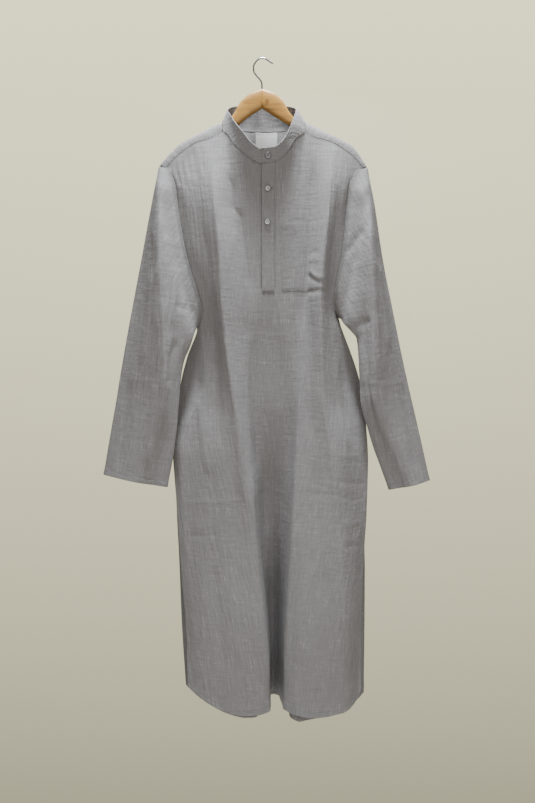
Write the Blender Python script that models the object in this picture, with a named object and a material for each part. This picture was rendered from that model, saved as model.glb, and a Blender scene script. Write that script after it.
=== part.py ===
# Kurta tunic on a wooden hanger, hanging by the hook.
# Metres, +Z up. The front faces -Y and +X is at a viewer's right.
# The origin is the underside of the top of the hook's bend, where it is held.
# Tables are in millimetres. A table's row is a section of the garment at one
# height, and its columns are the folds, named from a viewer's left to right.

import math
import bpy
import bmesh
from mathutils import Vector

MM = 0.001

# Cloth sizes in mm
CLOTH = 1.2            # wall thickness
GAP = 0.3              # clearance between neighbouring pieces
SEAM_STEP = 0.75       # half the distance between two panels' middles at a seam
SEAM_UNDER = 0.9       # how far the front's top edge lies below the back's
LAP = CLOTH + GAP      # how far a piece lies in front of the panel under it
ROW_CLEARANCE = 15     # a table's rows start this far below a fold's top

# Button, label, hook and hanger sizes in mm
BUTTON_RADIUS = 6.5
BUTTON_THICK = 2.4
BUTTON_SIDES = 16
LABEL_LEFT = -13.0
LABEL_RIGHT = 31.0
LABEL_TOP = -137.0
LABEL_BOTTOM = -169.0
LABEL_THICK = 1.0
LABEL_LIFT = 0.8       # extra room between the label and the back
LABEL_ROWS = 3
LABEL_COLUMNS = 5
WIRE_RADIUS = 1.75
WIRE_HOLE = 2.1
WIRE_FOOT = -82.0
WIRE_SIDES = 10
WIRE_STEPS = 34
BORE_DEPTH = 50.0
BORE_SIDES = 16
BORE_SPARE = 0.5       # the bore runs this far past the wire's foot
HANGER_HALF = 6.0
HANGER_TIP = 0.55      # width at the arm's end, as a share
CUFF_STEPS = 17
SLEEVE_ROUND = 22
CURVE_STEPS = 8        # steps per interval where a curve is cut evenly
SHARP_ANGLE = 50       # degrees between faces that shade as an edge

# Heights of the grid's rows below the neck
LEVELS = (-262, -297, -331, -365, -399, -433, -467, -505, -545, -590, -640, -690,
          -740, -790, -840, -880, -925, -970, -1015, -1060, -1105, -1150, -1195)
BACK_SKIPS = (-262, -331, -399)
PLACKET_END = -467
POCKET_TOP = -331
POCKET_END = -467

# FRONT PANEL
FRONT_FOLDS = ("edge_l", "roll_l", "slope_l", "crest_l", "neck_l", "rim_l",
               "wall_l", "placket_l", "placket_r", "wall_r", "neck_r", "rim_r",
               "mid_r", "crest_r", "slope_r", "roll_r", "edge_r")

# Top of each fold: x, y, z on the shoulder seams and along the neckline
FRONT_TOP = {
    "edge_l": (-192, -10, -223), "roll_l": (-166, -12, -196),
    "slope_l": (-131, -12, -172), "crest_l": (-101, -12, -156),
    "neck_l": (-78, -13, -150), "rim_l": (-59, -25, -177),
    "wall_l": (-31, -34, -204), "placket_l": (0, -40, -224),
    "placket_r": (24, -40, -220), "wall_r": (51, -33, -197),
    "neck_r": (87, -13, -150), "rim_r": (107, -13, -158),
    "mid_r": (123, -13, -165), "crest_r": (139, -13, -171),
    "slope_r": (161, -12, -183), "roll_r": (182, -12, -200),
    "edge_r": (201, -10, -221),
}

# z, then x of each fold between the two edges
FRONT_X = (
    (-288, -150, -125, -93, -74, -56, -29, 0, 24, 42, 73, 102, 114, 133, 150, 161),
    (-386, -134, -110, -82, -59, -33, -18, 0, 24, 40, 67, 92, 104, 122, 136, 149),
    (-485, -108, -93, -77, -51, -24, -12, 0, 24, 39, 61, 84, 98, 114, 128, 136),
    (-544, -101, -86, -72, -51, -29, -15, 0, 24, 42, 63, 81, 98, 115, 132, 147),
    (-613, -104, -84, -64, -47, -29, -18, 0, 24, 46, 64, 78, 97, 116, 140, 155),
    (-682, -129, -94, -54, -41, -27, -16, 0, 24, 50, 64, 75, 96, 119, 149, 173),
    (-781, -165, -109, -42, -32, -23, -12, 2, 24, 45, 59, 70, 98, 132, 166, 198),
    (-879, -160, -109, -33, -25, -19, -10, 3, 24, 42, 53, 65, 101, 143, 173, 202),
    (-997, -147, -102, -36, -21, -10, -4, 8, 23, 38, 48, 58, 100, 151, 174, 193),
    (-1135, -132, -94, -36, -12, 5, 8, 12, 24, 38, 44, 49, 97, 156, 174, 187),
)

# z, then depth y of each fold
FRONT_Y = (
    (-288, -20, -26, -36, -30, -22, -20, -24, -24, -20, -16, -18, -26, -34, -24, -18),
    (-386, -20, -28, -42, -31, -18, -16, -16, -16, -16, -15, -17, -26, -36, -24, -16),
    (-485, -18, -30, -42, -31, -18, -16, -14, -14, -14, -15, -17, -28, -38, -24, -14),
    (-544, -13, -26, -40, -31, -18, -14, -10, -10, -12, -13, -17, -28, -38, -24, -12),
    (-613, -12, -22, -40, -32, -20, -10, -6, -6, -8, -12, -18, -29, -38, -24, -12),
    (-682, -14, -22, -40, -33, -22, -8, -4, -4, -6, -12, -20, -30, -40, -24, -12),
    (-781, -12, -30, -42, -38, -30, -4, 4, 6, 2, -8, -25, -36, -46, -36, -12),
    (-879, -16, -34, -44, -44, -40, -10, 16, 21, 8, -10, -32, -43, -52, -40, -16),
    (-997, -24, -40, -50, -50, -44, -6, 21, 35, 10, -12, -38, -53, -63, -49, -26),
    (-1135, -34, -51, -61, -59, -50, 0, 36, 50, 15, -14, -43, -65, -72, -60, -39),
)

# Bottom of each fold at the hem: x, y, z
FRONT_HEM = {
    "edge_l": (-144, -30, -1243), "roll_l": (-125, -44, -1253),
    "slope_l": (-91, -58, -1270), "crest_l": (-36, -67, -1283),
    "neck_l": (-7, -64, -1283), "rim_l": (16, -54, -1279),
    "wall_l": (17, 0, -1282), "placket_l": (17, 46, -1286),
    "placket_r": (26, 59, -1287), "wall_r": (38, 10, -1286),
    "neck_r": (41, -18, -1286), "rim_r": (42, -46, -1279),
    "mid_r": (93, -72, -1285), "crest_r": (154, -74, -1274),
    "slope_r": (174, -62, -1264), "roll_r": (184, -50, -1256),
    "edge_r": (191, -44, -1241),
}

# BACK PANEL
BACK_FOLDS = ("edge_l", "roll_l", "lobe_l", "neck_a_l", "neck_b_l", "neck_c_l",
              "wall_l", "centre", "wall_r", "neck_c_r", "neck_b_r", "neck_a_r",
              "lobe_r", "roll_r", "edge_r")

# Shoulder columns: x and z on the forward seam, then x and z on the ridge
BACK_SHOULDER = {
    "edge_l": (-192, -222.2, -203, -211.6), "roll_l": (-166, -195.2, -163, -171.4),
    "lobe_l": (-131, -171.2, -128, -152.0), "neck_a_l": (-79, -149.2, -89, -130.8),
    "neck_a_r": (87, -149.2, 96, -131.6), "lobe_r": (139, -170.2, 136, -152.4),
    "roll_r": (182, -199.2, 180, -176.0), "edge_r": (201, -220.2, 208, -214.0),
}

# Cloth over the hanger's arm, behind the forward seam. At the armhole: step
# in x, depth y and drop below the ridge. Elsewhere: share of the step in x
# from ridge to seam, depth y and drop below the ridge.
SEAM_DEPTH_EDGE = -10
SEAM_DEPTH = -12
OVER_EDGE = ((-2, -7, 3), (0, 0, 0), (-2.5, 7.5, 6), (-8, 11.5, 15))
OVER_ARM = ((0.35, -9.2, 3.8), (0, 0, 0), (0, 9.2, 3.8), (0, 14, 20))

# Neck columns: x, y, z where they start on the back neckline
BACK_NECK = {
    "neck_b_l": (-80, 0, -129.3), "neck_c_l": (-73, 16, -128), "wall_l": (-45, 26, -130),
    "centre": (8, 30, -131), "wall_r": (57, 26, -130), "neck_c_r": (82, 16, -128),
    "neck_b_r": (88, 0, -129.5),
}

# Below the back neckline: steps in y and z beside the neck, and behind it
# the fall of the first rows and the share of it that each row takes
NECK_SIDE = ((0, 0), (5.5, -0.6), (10.5, -3.5), (14.5, -10), (18, -23))
NECK_FALL = 26
NECK_SHARES = (0.0, 0.22, 0.45, 0.7, 1.0)

# The column round the neck's corner: distance from the middle on each side,
# then for each point a step outwards, y and z, and its share of the way from
# one neighbour to the other further down
CORNER_AT = {"l": 79.5, "r": 87.5}
NECK_CORNER = ((0, -9.3, -134.5), (4, -4.2, -130.4), (5.5, 3.6, -130.0),
               (5.5, 10.4, -134.0), (5, 15.5, -150))
CORNER_SHARE = 0.4

BACK_X = (
    (-288, -160, -119, -87, -67, -48, -30, 8, 46, 65, 83, 103, 127, 153),
    (-386, -152, -114, -81, -61, -42, -24, 10, 45, 63, 81, 102, 124, 144),
    (-485, -131, -102, -73, -53, -34, -16, 14, 45, 63, 82, 102, 123, 139),
    (-544, -119, -99, -70, -50, -31, -14, 16, 45, 63, 82, 102, 125, 144),
    (-613, -137, -104, -70, -50, -31, -13, 18, 47, 66, 84, 105, 132, 161),
    (-682, -149, -108, -70, -48, -29, -13, 18, 49, 68, 86, 107, 138, 175),
    (-781, -153, -110, -69, -47, -29, -11, 18, 49, 67, 85, 108, 142, 185),
    (-879, -144, -104, -64, -42, -26, -13, 18, 49, 65, 82, 105, 143, 181),
    (-997, -138, -97, -57, -37, -24, -13, 20, 49, 62, 79, 104, 145, 177),
    (-1135, -129, -86, -46, -29, -16, -8, 22, 49, 58, 76, 101, 146, 176),
)

BACK_Y = (
    (-288, 23, 23, 23, 25, 27, 28, 30, 28, 27, 25, 23, 23, 23),
    (-386, 26, 28, 28, 29, 30, 30, 32, 30, 30, 29, 28, 28, 26),
    (-485, 28, 32, 32, 32, 32, 32, 34, 32, 32, 32, 32, 32, 28),
    (-544, 30, 36, 36, 36, 35, 34, 35, 34, 35, 36, 36, 36, 30),
    (-613, 40, 42, 41, 40, 38, 36, 37, 36, 38, 40, 41, 42, 40),
    (-682, 41, 42, 40, 39, 38, 37, 38, 37, 38, 39, 41, 42, 41),
    (-781, 27, 27, 25, 25, 26, 37, 42, 37, 27, 26, 25, 25, 25),
    (-879, 2, 0, -3, -1, 7, 34, 46, 34, 8, -3, -8, -12, -6),
    (-997, -6, -12, -18, -18, -8, 34, 54, 37, -8, -18, -26, -30, -20),
    (-1135, -12, -26, -32, -30, -20, 43, 68, 46, -20, -32, -42, -45, -32),
)

BACK_HEM = {
    "edge_l": (-151, -12, -1247), "roll_l": (-122, -24, -1267),
    "lobe_l": (-74, -38, -1289), "neck_a_l": (-36, -42, -1298),
    "neck_b_l": (-19, -38, -1300), "neck_c_l": (-8, -26, -1302),
    "wall_l": (1, 45, -1302), "centre": (23, 78, -1304), "wall_r": (49, 45, -1302),
    "neck_c_r": (55, -30, -1302), "neck_b_r": (72, -42, -1306),
    "neck_a_r": (97, -50, -1297), "lobe_r": (147, -52, -1286),
    "roll_r": (177, -42, -1271), "edge_r": (200, -26, -1255),
}

# EDGES that the panels share: z, x, y
ARMHOLE_FRONT = {
    "l": ((-223, -192, -10), (-243, -174, -14), (-288, -168, -12), (-366, -156, -12),
          (-443, -136, -12), (-499, -119, -9), (-516, -118, -4), (-531, -124, 2.25)),
    "r": ((-221, 201, -10), (-247, 176, -14), (-288, 169, -12), (-386, 160, -12),
          (-463, 145, -11), (-485, 143, -8), (-500, 145, -2), (-515, 152, 2.25)),
}
ARMHOLE_BACK = {
    "l": ((-236, -191, 13), (-258, -184, 16), (-288, -181, 18), (-386, -171, 20),
          (-465, -152, 20), (-508, -132, 13), (-531, -124, 3.75)),
    "r": ((-238, 196, 13), (-262, 184, 16), (-288, 179, 18), (-386, 170, 20),
          (-450, 160, 20), (-485, 154, 15), (-515, 152, 3.75)),
}
SIDE_SEAM = {
    "l": ((-531, -124, 3), (-560, -138, 17), (-613, -159, 31), (-682, -172, 33),
          (-781, -180, 16), (-880, -171, -5)),
    "r": ((-515, 152, 3), (-545, 163, 15), (-613, 191, 31), (-682, 207, 33),
          (-781, 214, 15), (-880, 209, -9), (-970, 203, -14)),
}
SLIT_FRONT = {
    "l": ((-880, -171, -5.75), (-925, -167.5, -9), (-997, -162, -12), (-1135, -149, -21),
          (-1243, -144, -30)),
    "r": ((-970, 203, -14.75), (-1015, 200, -17), (-1135, 193, -26), (-1241, 191, -44)),
}
SLIT_BACK = {
    "l": ((-880, -171, -4.25), (-925, -169, -5), (-997, -165, -6), (-1135, -159, -8),
          (-1247, -151, -12)),
    "r": ((-970, 203, -13.25), (-1015, 204, -11), (-1135, 203, -14), (-1255, 200, -26)),
}

# COLLAR BAND: the top edge's x, y, z, and how many of the neckline's steps
# lie between this station and the next
COLLAR = (
    ("under_end", 24, -48.6, -194, 2),
    ("centre_under", 0, -49, -197, 2),
    ("front_l", -35, -42, -164, 2),
    ("cheek_l", -60, -24, -125, 4),
    ("side_l", -69, -2, -102, 2),
    ("behind_l", -57, 15, -89, 4),
    ("back", 2, 26, -81, 4),
    ("behind_r", 55, 15, -89, 2),
    ("side_r", 68, -2, -101, 2),
    ("cheek_r", 63, -21, -124, 2),
    ("front_r", 46, -41, -170, 2),
    ("centre_over", 24, -49, -194, 2),
    ("over_end", 0, -49.4, -197, 0),
)
COLLAR_ROWS = (0.0, 0.34, 0.68, 1.0)
COLLAR_LIFT = 0.5
COLLAR_UNDER = 1.0     # the lower end steps back, and the upper one forward
COLLAR_OVER = -0.9
COLLAR_LAP = 5         # columns of the upper end, where its button sits
NECK_MIDDLE_X = 4
NECK_ABOVE = 60        # the band rises towards a point this far above

# SLEEVES: outer fold x, z, inner fold x, z, where the crest lies across the
# width from 0 to 1, the crest's depth, the back's depth and the back's bow
SLEEVE = {
    "l": ((-210, -240, -130, -538, 0.13, -30, 14, -12),
          (-221, -295, -134, -548, 0.25, -40, 14, -5),
          (-233, -359, -138, -564, 0.38, -44, 13, -2),
          (-248, -443, -144, -581, 0.52, -45, 12, 0),
          (-263, -523, -154, -605, 0.67, -44, 11, 0),
          (-277, -602, -160, -638, 0.75, -42, 10, 0),
          (-291, -686, -165, -702, 0.78, -38, 9, 0),
          (-304, -762, -173, -779, 0.66, -34, 8, 0),
          (-315, -831, -187, -854, 0.55, -32, 7, 0)),
    "r": ((216, -252, 159, -523, 0.13, -30, 14, 14),
          (225, -297, 163, -531, 0.24, -40, 14, 6),
          (234, -357, 169, -540, 0.31, -44, 13, 2),
          (245, -423, 180, -549, 0.45, -45, 12, 0),
          (257, -485, 190, -565, 0.59, -45, 11, 0),
          (275, -576, 193, -623, 0.68, -44, 10, 0),
          (291, -650, 196, -682, 0.74, -40, 9, 0),
          (307, -720, 210, -741, 0.70, -36, 8, 0),
          (321, -782, 230, -801, 0.60, -33, 8, 0),
          (334, -842, 251, -859, 0.50, -32, 7, 0)),
}
SLEEVE_OUTER_Y = -4.0
SLEEVE_INNER_Y = -17.0
INNER_TUCK = 10.0      # the first ring's inner fold lies this much further back
INNER_TUCK_STEP = 5.0

# Section of a sleeve. Before the crest: share of the way to it and of its
# height. After it: share of the way on to the inner fold, share of the height
# and a step in y. Behind: share of the width, share of the way from the inner
# fold's depth to the back's, a step in y and a share of the bow.
SLEEVE_RISE = (0.45, 0.6)
SLEEVE_FALL = ((0.55, 0.42, 0.0), (0.88, 0.12, -2.5))
SLEEVE_BEHIND = ((0.95, 0.0, 7.0, 0.3), (0.75, 0.5, 7.0, 1.0),
                 (0.45, 1.0, 0.0, 1.0), (0.12, 1.0, -6.0, 0.2))

# Sleeve head: its distance from the armhole's edge, two points over the
# shoulder as steps outwards, in y and z, and where the distance grows: below
# or above a height, and by what share
ARMHOLE_STEP = 1.6
SLEEVE_HEAD = ((1.2, 0, 0.4), (1.5, -0.6, -0.2))
SPARE_LOW_FRONT = (-482, 1.0)
SPARE_HIGH_FRONT = (-260, 0.8)
SPARE_LOW_BACK = (-440, 0.6)
UNDERARM_Y = 3
UNDERARM_DROP = 0.5

# HANGER: x, z of the top edge, z of the underside
HANGER = {
    "l": ((0, -60, -99), (24, -70, -114), (44, -88, -130), (54, -106, -137),
          (66, -123, -145), (80, -133.2, -154), (86, -134.0, -157.5),
          (122, -152.4, -177), (160, -173.8, -197), (184, -195.0, -212),
          (190, -202.5, -210)),
    "r": ((0, -60, -99), (27, -70, -116), (44, -88, -127), (53, -104, -132),
          (66, -120, -140), (80, -130.8, -149), (90, -133.6, -154.5),
          (138, -156.4, -179), (172, -174.6, -197), (186, -189.5, -206),
          (192, -198, -205)),
}

# Section of an arm: share of the half width, and share of the way down
HANGER_SECTION = ((-1.0, 0.30), (-0.94, 0.15), (-0.68, 0.05), (-0.28, 0.0), (0.28, 0.0),
                  (0.68, 0.05), (0.94, 0.15), (1.0, 0.30), (1.0, 0.84), (0.78, 0.97),
                  (0.4, 1.0), (-0.4, 1.0), (-0.78, 0.97), (-1.0, 0.84))

# HOOK: x, z of the wire's middle, from its foot in the wood to its free end
HOOK = ((0, WIRE_FOOT), (0, -58.6), (-0.6, -48), (-4.4, -40.6), (-12, -32),
        (-16.6, -24), (-17, -16), (-14.6, -9.0), (-10, -3.0), (-4.8, 0.8),
        (0, 1.75), (4, 1.4), (9.6, -1.0), (16, -5.4), (22.4, -9.6))

# BUTTONS: name, x, z
BUTTONS = (("button_1", 12, -268), ("button_2", 11, -331))
COLLAR_BUTTON = ("button_collar", 12, -209.5)

# Section of a button: shares of its radius and of half its thickness
BUTTON_SECTION = ((0.62, 0.55), (0.74, 1.0), (0.9, 1.0), (1.0, 0.3), (0.96, -0.7),
                  (0.86, -1.0))

COLOURS = {
    "kurta_cloth": ((0.30, 0.29, 0.31), 0.85, 0.0),
    "button": ((0.36, 0.34, 0.33), 0.4, 0.0),
    "label": ((0.75, 0.74, 0.72), 0.8, 0.0),
    "wood": ((0.45, 0.27, 0.12), 0.45, 0.0),
    "steel": ((0.55, 0.55, 0.55), 0.3, 1.0),
}


def clear_scene():
    for thing in list(bpy.data.objects):
        bpy.data.objects.remove(thing, do_unlink=True)


def material(name):
    made = bpy.data.materials.get(name)
    if made:
        return made
    made = bpy.data.materials.new(name)
    made.use_nodes = True
    colour, rough, metal = COLOURS[name]
    shader = made.node_tree.nodes["Principled BSDF"]
    shader.inputs["Base Color"].default_value = colour + (1.0,)
    shader.inputs["Roughness"].default_value = rough
    shader.inputs["Metallic"].default_value = metal
    return made


def smooth_curve(xs, ys, x):
    # a curve through the points that never swings past them
    count = len(xs)
    if x <= xs[0]:
        return ys[0]
    if x >= xs[-1]:
        return ys[-1]
    h = [xs[i + 1] - xs[i] for i in range(count - 1)]
    d = [(ys[i + 1] - ys[i]) / h[i] for i in range(count - 1)]
    m = [d[0]]
    for i in range(1, count - 1):
        if d[i - 1] * d[i] <= 0:
            m.append(0.0)
        else:
            near = 2 * h[i] + h[i - 1]
            far = h[i] + 2 * h[i - 1]
            m.append((near + far) / (near / d[i - 1] + far / d[i]))
    m.append(d[-1])
    k = 0
    while k < count - 2 and x > xs[k + 1]:
        k += 1
    t = (x - xs[k]) / h[k]
    return (ys[k] * (1 + 2 * t) * (1 - t) ** 2 + h[k] * m[k] * t * (1 - t) ** 2
            + ys[k + 1] * t * t * (3 - 2 * t) + h[k] * m[k + 1] * t * t * (t - 1))


def spread(points, steps):
    # points along a smooth curve through the given ones, steps per interval
    at = [0.0]
    for a, b in zip(points, points[1:]):
        at.append(at[-1] + max((b - a).length, 0.01))
    out = []
    for k in range(len(points) - 1):
        for s in range(steps[k]):
            out.append(at[k] + (at[k + 1] - at[k]) * s / steps[k])
    out.append(at[-1])
    axes = [[p[c] for p in points] for c in range(3)]
    return [Vector([smooth_curve(at, axis, t) for axis in axes]) for t in out]


def evenly(points, count):
    # the same curve, cut into equal lengths
    fine = spread(points, [CURVE_STEPS] * (len(points) - 1))
    run = [0.0]
    for a, b in zip(fine, fine[1:]):
        run.append(run[-1] + (b - a).length)
    out = []
    k = 0
    for n in range(count + 1):
        want = run[-1] * n / count
        while k < len(run) - 2 and run[k + 1] < want:
            k += 1
        t = (want - run[k]) / max(run[k + 1] - run[k], 1e-9)
        out.append(fine[k].lerp(fine[k + 1], min(max(t, 0.0), 1.0)))
    return out


def on_edge(rows, z):
    rising = sorted(rows)
    zs = [r[0] for r in rising]
    return Vector((smooth_curve(zs, [r[1] for r in rising], z),
                   smooth_curve(zs, [r[2] for r in rising], z), z))


def panel_edge(side, arm, slit, step, z):
    # armhole, then side seam, then the slit down to the hem's corner
    seam = SIDE_SEAM[side]
    if z > seam[0][0]:
        return on_edge(arm[side], z)
    if z >= seam[-1][0]:
        point = on_edge(seam, z)
        point.y += step
        return point
    return on_edge(slit[side], z)


def fold_line(top, table_x, table_y, column, hem, z):
    rows = [(hem[2], hem[0], hem[1])]
    for rx, ry in zip(reversed(table_x), reversed(table_y)):
        if rx[0] < top[2] - ROW_CLEARANCE:
            rows.append((rx[0], rx[column], ry[column]))
    rows.append((top[2], top[0], top[1]))
    return on_edge(rows, z)


def front_grid(seam):
    heights = ["top", "upper"] + list(LEVELS) + ["lower", "hem"]
    last = len(FRONT_FOLDS) - 1
    grid = []
    for height in heights:
        line = []
        for k, name in enumerate(FRONT_FOLDS):
            top = FRONT_TOP[name]
            hem = FRONT_HEM[name]
            z = height
            if height == "top":
                z = top[2]
            elif height == "upper":
                z = (top[2] + LEVELS[0]) / 2
            elif height == "lower":
                z = (hem[2] + LEVELS[-1]) / 2
            elif height == "hem":
                z = hem[2]
            if k == 0:
                line.append(panel_edge("l", ARMHOLE_FRONT, SLIT_FRONT, -SEAM_STEP, z))
            elif k == last:
                line.append(panel_edge("r", ARMHOLE_FRONT, SLIT_FRONT, -SEAM_STEP, z))
            else:
                line.append(fold_line(top, FRONT_X, FRONT_Y, k, hem, z))
        grid.append(spread(line, [2] * last))
    # the shoulder seams run just under the back panel's forward edge
    left = 2 * FRONT_FOLDS.index("neck_l")
    right = 2 * FRONT_FOLDS.index("neck_r")
    first = 2 * BACK_FOLDS.index("neck_a_l") + 1
    final = 2 * (len(BACK_FOLDS) - 1 - BACK_FOLDS.index("neck_a_r")) + 1
    for j, p in enumerate(grid[0]):
        if j > left and j < right:
            continue
        over = along(seam[:first] if j <= left else seam[-final:], p.x)
        p.y = over.y
        p.z = over.z - SEAM_UNDER
    return grid


def along(line, x):
    # the point at this x on a row of points
    for a, b in zip(line, line[1:]):
        if min(a.x, b.x) - 1e-6 <= x <= max(a.x, b.x) + 1e-6 and abs(b.x - a.x) > 1e-6:
            return a.lerp(b, (x - a.x) / (b.x - a.x))
    return line[0].copy() if abs(x - line[0].x) < abs(x - line[-1].x) else line[-1].copy()


def over_the_shoulder(name):
    # forward seam, over the ridge, and down behind the hanger's arm
    xs, zs, xr, zr = BACK_SHOULDER[name]
    if name.startswith("edge"):
        side = 1 if xs > 0 else -1
        line = [Vector((xs, SEAM_DEPTH_EDGE, zs))]
        for step, y, drop in OVER_EDGE:
            line.append(Vector((xr + step * side, y, zr - drop)))
        return line
    line = [Vector((xs, SEAM_DEPTH, zs))]
    for share, y, drop in OVER_ARM:
        line.append(Vector((xr + share * (xs - xr), y, zr - drop)))
    return line


def round_neck_corner(side, a, b):
    # the column between a shoulder's end and the side of the neck
    out = -1 if side == "l" else 1
    line = [Vector(((CORNER_AT[side] + step) * out, y, z)) for step, y, z in NECK_CORNER]
    top = len(NECK_CORNER)
    return line + [p.lerp(q, CORNER_SHARE) for p, q in zip(a[top:], b[top:])]


def down_from_neck(name, below):
    start = Vector(BACK_NECK[name])
    if name.startswith("neck_b"):
        return [start + Vector((0, y, z)) for y, z in NECK_SIDE]
    end = below(start.z - NECK_FALL)
    return [start.lerp(end, t) for t in NECK_SHARES]


def back_grid():
    levels = [z for z in LEVELS if z not in BACK_SKIPS]
    last = len(BACK_FOLDS) - 1
    columns = []
    for k, name in enumerate(BACK_FOLDS):
        hem = BACK_HEM[name]
        if name in BACK_SHOULDER:
            head = over_the_shoulder(name)
        else:
            start = BACK_NECK[name]
            head = down_from_neck(
                name, lambda z: fold_line(start, BACK_X, BACK_Y, k, hem, z))
        foot = head[-1]
        heights = [(foot.z + levels[0]) / 2] + levels
        heights += [(levels[-1] + hem[2]) / 2, hem[2]]
        line = list(head)
        for z in heights:
            if k == 0:
                line.append(panel_edge("l", ARMHOLE_BACK, SLIT_BACK, SEAM_STEP, z))
            elif k == last:
                line.append(panel_edge("r", ARMHOLE_BACK, SLIT_BACK, SEAM_STEP, z))
            else:
                top = (foot.x, foot.y, foot.z)
                line.append(fold_line(top, BACK_X, BACK_Y, k, hem, z))
        columns.append(line)
    steps = [2] * last
    for side in ("r", "l"):
        k = BACK_FOLDS.index("neck_b_" + side)
        n = BACK_FOLDS.index("neck_a_" + side)
        low = min(k, n)
        turn = round_neck_corner(side, columns[n], columns[k])
        columns.insert(low + 1, turn)
        steps[low:low + 1] = [1, 1]
    rows = []
    for r in range(len(columns[0])):
        rows.append(spread([column[r] for column in columns], steps))
    return rows


def armhole_ring(side):
    # the sleeve's first ring, just outside the panels' armhole edges
    out = -1 if side == "l" else 1
    step = Vector((ARMHOLE_STEP * out, 0, 0))
    head = over_the_shoulder("edge_" + side)
    low = SIDE_SEAM[side][0][0]
    fore = []
    for point, (x, y, z) in zip((head[2], head[1]), SLEEVE_HEAD):
        fore.append(point + Vector((x * out, y, z)))
    for row in ARMHOLE_FRONT[side]:
        spare = SPARE_LOW_FRONT[1] if row[0] < SPARE_LOW_FRONT[0] else 0.0
        if row[0] > SPARE_HIGH_FRONT[0]:
            spare = SPARE_HIGH_FRONT[1]
        fore.append(on_edge(ARMHOLE_FRONT[side], row[0]) + step * (1 + spare))
    fore[-1] = Vector((fore[-1].x + out, UNDERARM_Y, low - UNDERARM_DROP))
    rear = [fore[-1]]
    for row in reversed(ARMHOLE_BACK[side][:-1]):
        spare = SPARE_LOW_BACK[1] if row[0] < SPARE_LOW_BACK[0] else 0.0
        rear.append(on_edge(ARMHOLE_BACK[side], row[0]) + step * (1 + spare))
    rear += [head[3] + step, fore[0]]
    return fore, rear


def sleeve_section(row, tuck):
    # one ring of a sleeve: the way round the front, then round the back
    ox, oz, ix, iz, crest_at, crest_y, back_y, bow = row
    outer = Vector((ox, SLEEVE_OUTER_Y, oz))
    inner = Vector((ix, tuck, iz))

    def across(share, y, sideways=0.0):
        point = outer.lerp(inner, share)
        point.y = y
        point.x += sideways
        return point

    rise, height = SLEEVE_RISE
    fore = [outer, across(crest_at * rise, SLEEVE_OUTER_Y + (crest_y - SLEEVE_OUTER_Y) * height),
            across(crest_at, crest_y)]
    for share, height, step in SLEEVE_FALL:
        fore.append(across(crest_at + (1 - crest_at) * share,
                           tuck + (crest_y - tuck) * height + step))
    rear = [inner]
    for share, back, step, bent in SLEEVE_BEHIND:
        rear.append(across(share, tuck + (back_y - tuck) * back + step, bow * bent))
    return fore + [inner], rear + [outer]


def sleeve_rings(side):
    half = SLEEVE_ROUND // 2
    sections = [armhole_ring(side)]
    for row in SLEEVE[side]:
        tuck = max(0.0, INNER_TUCK - INNER_TUCK_STEP * (len(sections) - 1))
        sections.append(sleeve_section(row, SLEEVE_INNER_Y + tuck))
    rings = [evenly(fore, half)[:-1] + evenly(rear, half)[:-1] for fore, rear in sections]
    lines = []
    for n in range(SLEEVE_ROUND):
        lines.append(evenly([ring[n] for ring in rings], CUFF_STEPS))
    return [[line[r] for line in lines] for r in range(CUFF_STEPS + 1)]


def surface_normals(grid, round_shape=False):
    rows = len(grid)
    cols = len(grid[0])
    total = [[Vector() for _ in range(cols)] for _ in range(rows)]
    span = cols if round_shape else cols - 1
    for i in range(rows - 1):
        for j in range(span):
            k = (j + 1) % cols
            corners = ((i, j), (i, k), (i + 1, k), (i + 1, j))
            a, b, c, d = [grid[r][s] for r, s in corners]
            face = (c - a).cross(d - b)
            if face.length > 0:
                face.normalize()
            for r, s in corners:
                total[r][s] += face
    for line in total:
        for n in line:
            if n.length > 0:
                n.normalize()
    return total


def add_object(name, verts, faces, colour):
    mesh = bpy.data.meshes.new(name)
    mesh.from_pydata([tuple(v * MM) for v in verts], [], faces)
    shape = bmesh.new()
    shape.from_mesh(mesh)
    bmesh.ops.recalc_face_normals(shape, faces=shape.faces)
    shape.to_mesh(mesh)
    shape.free()
    mesh.materials.append(material(colour))
    mesh.shade_smooth()
    mesh.set_sharp_from_angle(angle=math.radians(SHARP_ANGLE))
    made = bpy.data.objects.new(name, mesh)
    bpy.context.scene.collection.objects.link(made)
    return made


def cloth(name, grid, normals, colour="kurta_cloth", thick=CLOTH, round_shape=False):
    # a wall of even thickness about the grid of its middle surface
    rows = len(grid)
    cols = len(grid[0])
    verts = []
    for side in (1, -1):
        for line, ns in zip(grid, normals):
            for p, n in zip(line, ns):
                verts.append(p + n * (side * thick / 2))
    faces = []
    size = rows * cols
    span = cols if round_shape else cols - 1
    for i in range(rows - 1):
        for j in range(span):
            k = (j + 1) % cols
            a = i * cols + j
            b = i * cols + k
            c = (i + 1) * cols + k
            d = (i + 1) * cols + j
            faces += [(a, b, c), (a, c, d)]
            faces += [(a + size, c + size, b + size), (a + size, d + size, c + size)]
    for i in (0, rows - 1):
        for j in range(span):
            k = (j + 1) % cols
            faces.append((i * cols + j, i * cols + k, i * cols + k + size,
                          i * cols + j + size))
    if not round_shape:
        for j in (0, cols - 1):
            for i in range(rows - 1):
                faces.append((i * cols + j, (i + 1) * cols + j,
                              (i + 1) * cols + j + size, i * cols + j + size))
    return add_object(name, verts, faces, colour)


def cut_out(grid, normals, rows, cols, ahead):
    # the part of a panel under a laid-on piece, moved out in front of it
    lines = []
    ns = []
    for i in range(rows[0], rows[1] + 1):
        lines.append([grid[i][j] + normals[i][j] * ahead for j in range(cols[0], cols[1] + 1)])
        ns.append([normals[i][j] for j in range(cols[0], cols[1] + 1)])
    return lines, ns


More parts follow.
